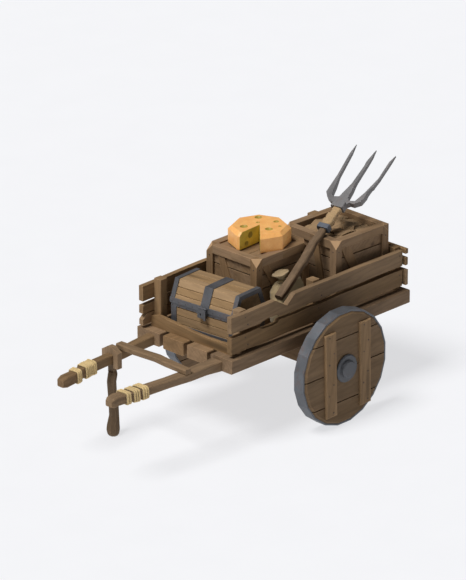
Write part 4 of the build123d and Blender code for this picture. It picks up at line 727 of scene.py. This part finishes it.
def rounded(cx, cy, l, w, r, n=56):
    """Points round a rounded rectangle, evenly by angle of travel."""
    out = []
    hx, hy = l / 2 - r, w / 2 - r
    per = [2 * hy, math.pi / 2 * r, 2 * hx, math.pi / 2 * r] * 2
    tot = sum(per)
    segs = [("l", l / 2, -hy, 0, 1), ("c", hx, hy, 0), ("l", hx, w / 2, -1, 0), ("c", -hx, hy, 90), ("l", -l / 2, hy, 0, -1), ("c", -hx, -hy, 180), ("l", -hx, -w / 2, 1, 0), ("c", hx, -hy, 270)]
    for k in range(n):
        d = tot * k / n
        for sg, L in zip(segs, per):
            if d <= L:
                if sg[0] == "l":
                    out.append((cx + sg[1] + sg[3] * d, cy + sg[2] + sg[4] * d))
                else:
                    a = math.radians(sg[3]) + d / r
                    out.append((cx + sg[1] + r * math.cos(a), cy + sg[2] + r * math.sin(a)))
                break
            d -= L
        else:
            out.append((cx + l / 2, cy - hy))
    return out


def sack_body():
    bm = bmesh.new()
    ring_tube(bm, [[tuple(pt(px, py, z)) for px, py in rounded(cx, cy, l, w, r)] for z, cx, cy, l, w, r in SC])
    o = add("sack_body", bm, cloth_mat, "cart", replaces=("grain_sack",))
    bpy.context.view_layer.update()
    md = o.modifiers.new("remesh", "REMESH")
    md.mode = "VOXEL"
    md.voxel_size = 0.0058
    dg = bpy.context.evaluated_depsgraph_get()
    me = bpy.data.meshes.new_from_object(o.evaluated_get(dg))
    o.modifiers.clear()
    old = o.data
    o.data = me
    bpy.data.meshes.remove(old)
    start = [v.co.copy() for v in me.vertices]
    cl = o.modifiers.new("cloth", "CLOTH")
    st = cl.settings
    st.quality = 5
    st.mass = 0.25
    st.tension_stiffness = 12
    st.compression_stiffness = 8
    st.shear_stiffness = 5
    st.bending_stiffness = 0.4
    st.use_pressure = True
    st.uniform_pressure_force = 3.2
    st.effector_weights.gravity = 0.0
    cl.point_cache.frame_start, cl.point_cache.frame_end = 1, 20
    sc = bpy.context.scene
    sc.frame_start, sc.frame_end = 1, 20
    for f in range(1, 21):
        sc.frame_set(f)
    dg = bpy.context.evaluated_depsgraph_get()
    ev = o.evaluated_get(dg)
    got = [v.co.copy() for v in ev.data.vertices]
    o.modifiers.clear()
    sc.frame_set(1)
    for v, a, b in zip(me.vertices, start, got):
        d = b - a
        cap = 0.009
        if d.length > cap:
            d = d.normalized() * cap
        v.co = a + d
    neck = pt(181.5, 158.5, 760)
    floor_z = 0.5205
    # sag, folds that run down from the neck, slack creases
    for v in me.vertices:
        p = v.co
        rel = p - neck
        ang = math.atan2(rel.y * 1.6, rel.x)
        dist = Vector((rel.x, rel.y * 1.5, rel.z)).length
        out = Vector((rel.x, rel.y * 2.2, max(-0.05, rel.z + 0.06))).normalized()
        fold = math.cos(15 * ang + 2.4 * noise.noise(p * 14)) * 0.0036 * math.exp(-dist / 0.062)
        fold += math.cos(7 * ang + 1.1 + 2.0 * noise.noise(p * 9)) * 0.0030 * math.exp(-abs(dist - 0.07) / 0.055)
        crease = -abs(noise.noise(Vector((p.x * 13, p.y * 13, p.z * 21)))) * 0.006 + noise.noise(Vector((p.x * 40, p.y * 40, p.z * 60))) * 0.0012
        low = max(0.0, 1 - (p.z - floor_z) / 0.04)
        v.co = p + out * (fold + (crease + 0.0015) * (1 - low))
        if v.co.z < floor_z:
            v.co.z = floor_z
    # side seam: two lips stand along the edge where front meets back
    for v in me.vertices:
        d = abs(v.co.y - (0.1915 if v.co.z < 0.664 else 0.1600))
        if d < 0.006 and v.co.z < 0.745 and (v.co.x > pt(262, 0, 0).x or v.co.x < pt(30, 0, 0).x):
            v.co.x += (0.0022 if v.co.x > pt(150, 0, 0).x else -0.0022) * (1 - d / 0.006)
    for p in me.polygons:
        p.use_smooth = True
    sm = o.modifiers.new("sub", "SUBSURF")
    sm.levels = sm.render_levels = 1
    return o


def sack_mouth():
    """The gathered neck and the flared, open mouth with its turned hem."""
    bm = bmesh.new()
    outer = [(748, 181, 158, 27, 18), (753, 181, 158, 21, 15), (757.5, 181, 158.5, 17.5, 13), (763, 182, 159, 15, 11.6), (769, 182.6, 159.6, 15.4, 12), (775, 183, 160, 18, 13), (782, 184, 160.3, 24, 15),
             (789, 185.5, 160.3, 34, 18), (796, 187, 160, 46, 20.5), (801, 188.5, 159.6, 56, 22.3), (805, 189, 159.3, 60.5, 23.4)]
    rim = [(807, 189, 159.2, 61.5, 24.0), (808.2, 189, 159.2, 60.5, 23.4), (807.4, 189, 159.2, 59, 22.6)]
    inner = [(805.8, 189, 159.2, 53, 20.5), (804.6, 189, 159.2, 44, 17), (803.2, 188, 159.2, 33, 12.5), (802, 187, 159.2, 20, 8), (801, 186, 159.2, 8, 4)]
    n = 140
    rings = []
    for g, rows in (("o", outer), ("r", rim), ("i", inner)):
        for z, cx, cy, a, b in rows:
            ring = []
            for k in range(n):
                f = 2 * math.pi * k / n
                up = max(0.0, min(1.0, (z - 765) / 42))
                amp = 0.15 * (1 - up) + 0.028 * up if g != "i" else 0.03 + 0.10 * (1 - a / 58)
                wob = 1 + amp * math.cos(15 * f + 0.8 * math.sin(3 * f) + (0.5 if g != "o" else 0)) + 0.035 * up * math.cos(4 * f + 0.7) + 0.02 * up * math.cos(9 * f)
                # the mouth is drawn to points at its two ends
                px, py = math.cos(f), math.sin(f)
                py = math.copysign(abs(py) ** (1 + 0.35 * up), py)
                dz = up * (1.6 * math.cos(3 * f + 0.4) + 1.2 * math.cos(5 * f + 2.0) - 6.0 * math.sin(f) - 2.0) * (1 if g != "i" else a / 60)
                ring.append(tuple(pt(cx + a * px * wob, cy + b * py * wob, z + dz)))
            rings.append(ring)
    ring_tube(bm, rings, cap=True)
    bm.faces.ensure_lookup_table()
    for i, fc in enumerate(bm.faces):
        # painted light: the rim and inside get the paler lit copy, the outer wall the body's cloth
        fc.material_index = 1 if i < n * (len(outer) - 1) else 0
    o = add("sack_mouth", bm, (mouth_lit_mat, cloth_mat), "cart", smooth=180)
    return o


def sack_tie():
    bm = bmesh.new()
    turns, steps = 3, 60
    path = []
    for i in range(turns * steps + 1):
        f = 2 * math.pi * i / steps + 0.6
        z = 762.6 + 4.9 * i / (turns * steps) * 1.0
        a, b = 17.2 + 0.7 * math.sin(i * 0.13), 13.9 + 0.6 * math.cos(i * 0.11)
        path.append((Vector((182.3 + a * math.cos(f), 159.4 + b * math.sin(f), z)), Vector((math.cos(f), math.sin(f), 0))))
    strand_tube(bm, path, 2.1, lay=13, n=12)
    # a reef knot on the side that faces out, with two short ends
    kc = Vector((182.3 + 15.5, 159.4 + 12.5, 765.2))
    outv = Vector((0.62, 0.78, 0)).normalized()
    side = Vector((-outv.y, outv.x, 0))
    up = Vector((0, 0, 1))
    for sgn in (1, -1):
        loop = []
        for i in range(40):
            u = i / 39
            f = 2 * math.pi * u * 0.9 + (0.3 if sgn > 0 else 3.4)
            loop.append((kc + side * (5.2 * math.cos(f) * 1.0 + sgn * 1.6) + up * (4.2 * math.sin(f)) + outv * (2.4 + 1.8 * math.sin(2 * f + sgn)), outv))
        strand_tube(bm, loop, 2.0, lay=13, n=12)
        end = []
        for i in range(26):
            u = i / 25
            end.append((kc + side * sgn * (3 + 11 * u + 3 * u * u) + up * (-1 - 9 * u - 8 * u * u) + outv * (4.2 + 2.6 * math.sin(2.2 * u)), outv))
        strand_tube(bm, end, lambda s: 1.9 if s < 17 else 2.3, lay=13, n=12)
    return add("sack_cord", bm, cord_mat, "cart", smooth=180, replaces=("sack_tie",))


sack_body()
sack_mouth()
sack_tie()

# ------------------------------------------------------------------ forged nail and rivet heads
nail_mat = iron("iron_nails", srgb(74, 70, 68), rust=0.5, worn=0.4, hammer=160.0)


def nail_heads(name, node, rays, body, r=0.0032, seed=0):
    """Small domed, hand-forged heads where rays (start, direction) meet a CAD node."""
    o = NODES[node]
    inv = o.matrix_world.inverted()
    rnd = random.Random(seed)
    bm = bmesh.new()
    for org, d in rays:
        d = Vector(d).normalized()
        hit, loc, nor, _ = o.ray_cast(inv @ Vector(org), inv.to_3x3() @ d, distance=0.8)
        if not hit or nor.dot(inv.to_3x3() @ d) > -0.5:
            continue
        loc, nor = o.matrix_world @ loc, (o.matrix_world.to_3x3() @ nor).normalized()
        q = nor.to_track_quat("Z", "Y")
        turn, k = rnd.uniform(0, 6.28), r * rnd.uniform(0.88, 1.15)
        rings = []
        for rad, h in ((1.0, -0.25), (1.04, 0.12), (0.74, 0.42), (0.30, 0.58)):
            rings.append([tuple(loc + q @ Vector((math.cos(turn + 2 * math.pi * i / 8) * k * rad * (1 + 0.06 * (i % 2)), math.sin(turn + 2 * math.pi * i / 8) * k * rad, k * h))) for i in range(8)])
        ring_tube(bm, rings)
    if len(bm.verts) == 0:
        bm.free()
        return
    add(name, bm, nail_mat, body, smooth=50)


bpy.context.view_layer.update()
for s, sg in (("left", 1), ("right", -1)):
    rays = []
    for bx in (202.5, -68.5):
        for i, z in enumerate((0.100, 0.205, 0.264, 0.388, 0.447, 0.545)):
            rays.append(((X(bx + (17 if i % 2 else -17)), sg * 0.75, z), (0, -sg, 0)))
    nail_heads("nails_" + s + "_wheel", s + "_wheel_battens", rays, s + "_wheel", 0.0040, 1)
for name, zs in (("side_plank_near_upper", (0.684, 0.730)), ("side_plank_near_lower", (0.570, 0.616))):
    rays = [((X(x + dx), 0.6, z), (0, -1, 0)) for x in (632, 60.75, -589.75) for z, dx in zip(zs, (-10, 10))]
    nail_heads("nails_" + name, name, rays, "cart", 0.0036, 2)
for name, zs in (("side_plank_far_upper", (0.702, 0.750)), ("side_plank_far_middle", (0.636,)), ("side_plank_far_lower", (0.570,))):
    rays = [((X(x + dx), -0.6, z), (0, 1, 0)) for x in (667, 46.5, -542) for z, dx in zip(zs, (-10, 10))]
    nail_heads("nails_" + name, name, rays, "cart", 0.0036, 3)
for name, zs in (("tail_board_upper", (0.751,)), ("tail_board_middle", (0.691,)), ("tail_board_lower", (0.575, 0.620))):
    nail_heads("nails_" + name, name, [((X(-900), y, z), (1, 0, 0)) for y in (-0.318, 0.318) for z in zs], "cart", 0.0036, 4)
for node, (cx, cy), tn, hx, hy, ht in (("crate_1_frame", (136.5, -61), 0.0, 206.5, 189, 390), ("crate_2_frame", (-351.2, 67.5), -1.5, 206, 200, 394)):
    rays = []
    rot = Matrix.Rotation(math.radians(tn), 3, "Z")
    for sx, sy in ((1, 0), (-1, 0), (0, 1), (0, -1)):
        for e in (-1, 1):
            for z in (34, ht - 62):
                lat = (hy if sx else hx) - 23
                p = Vector((sx * (hx + 60), e * lat, z)) if sx else Vector((e * lat, sy * (hy + 60), z))
                w = rot @ p + Vector((cx, cy, 520))
                rays.append(((w.x / 1000 + DX, w.y / 1000, w.z / 1000), rot @ Vector((-sx, -sy, 0))))
    nail_heads("nails_" + node, node, rays, "cart", 0.0034, 5)
body_lid = next(b for b, ns in frame["record"]["behaviour"]["bodies"].items() if "chest_lid_irons" in ns)
nail_heads("rivets_chest_box", "chest_box_irons", [((X(900), -0.19 + 0.0475 * i, z), (-1, 0, 0)) for i in range(9) for z in (0.661, 0.533)], "cart", 0.0030, 6)
nail_heads("rivets_chest_lid", "chest_lid_irons", [((X(900), -0.19 + 0.0475 * i, 0.686), (-1, 0, 0)) for i in range(9)], body_lid, 0.0030, 7)
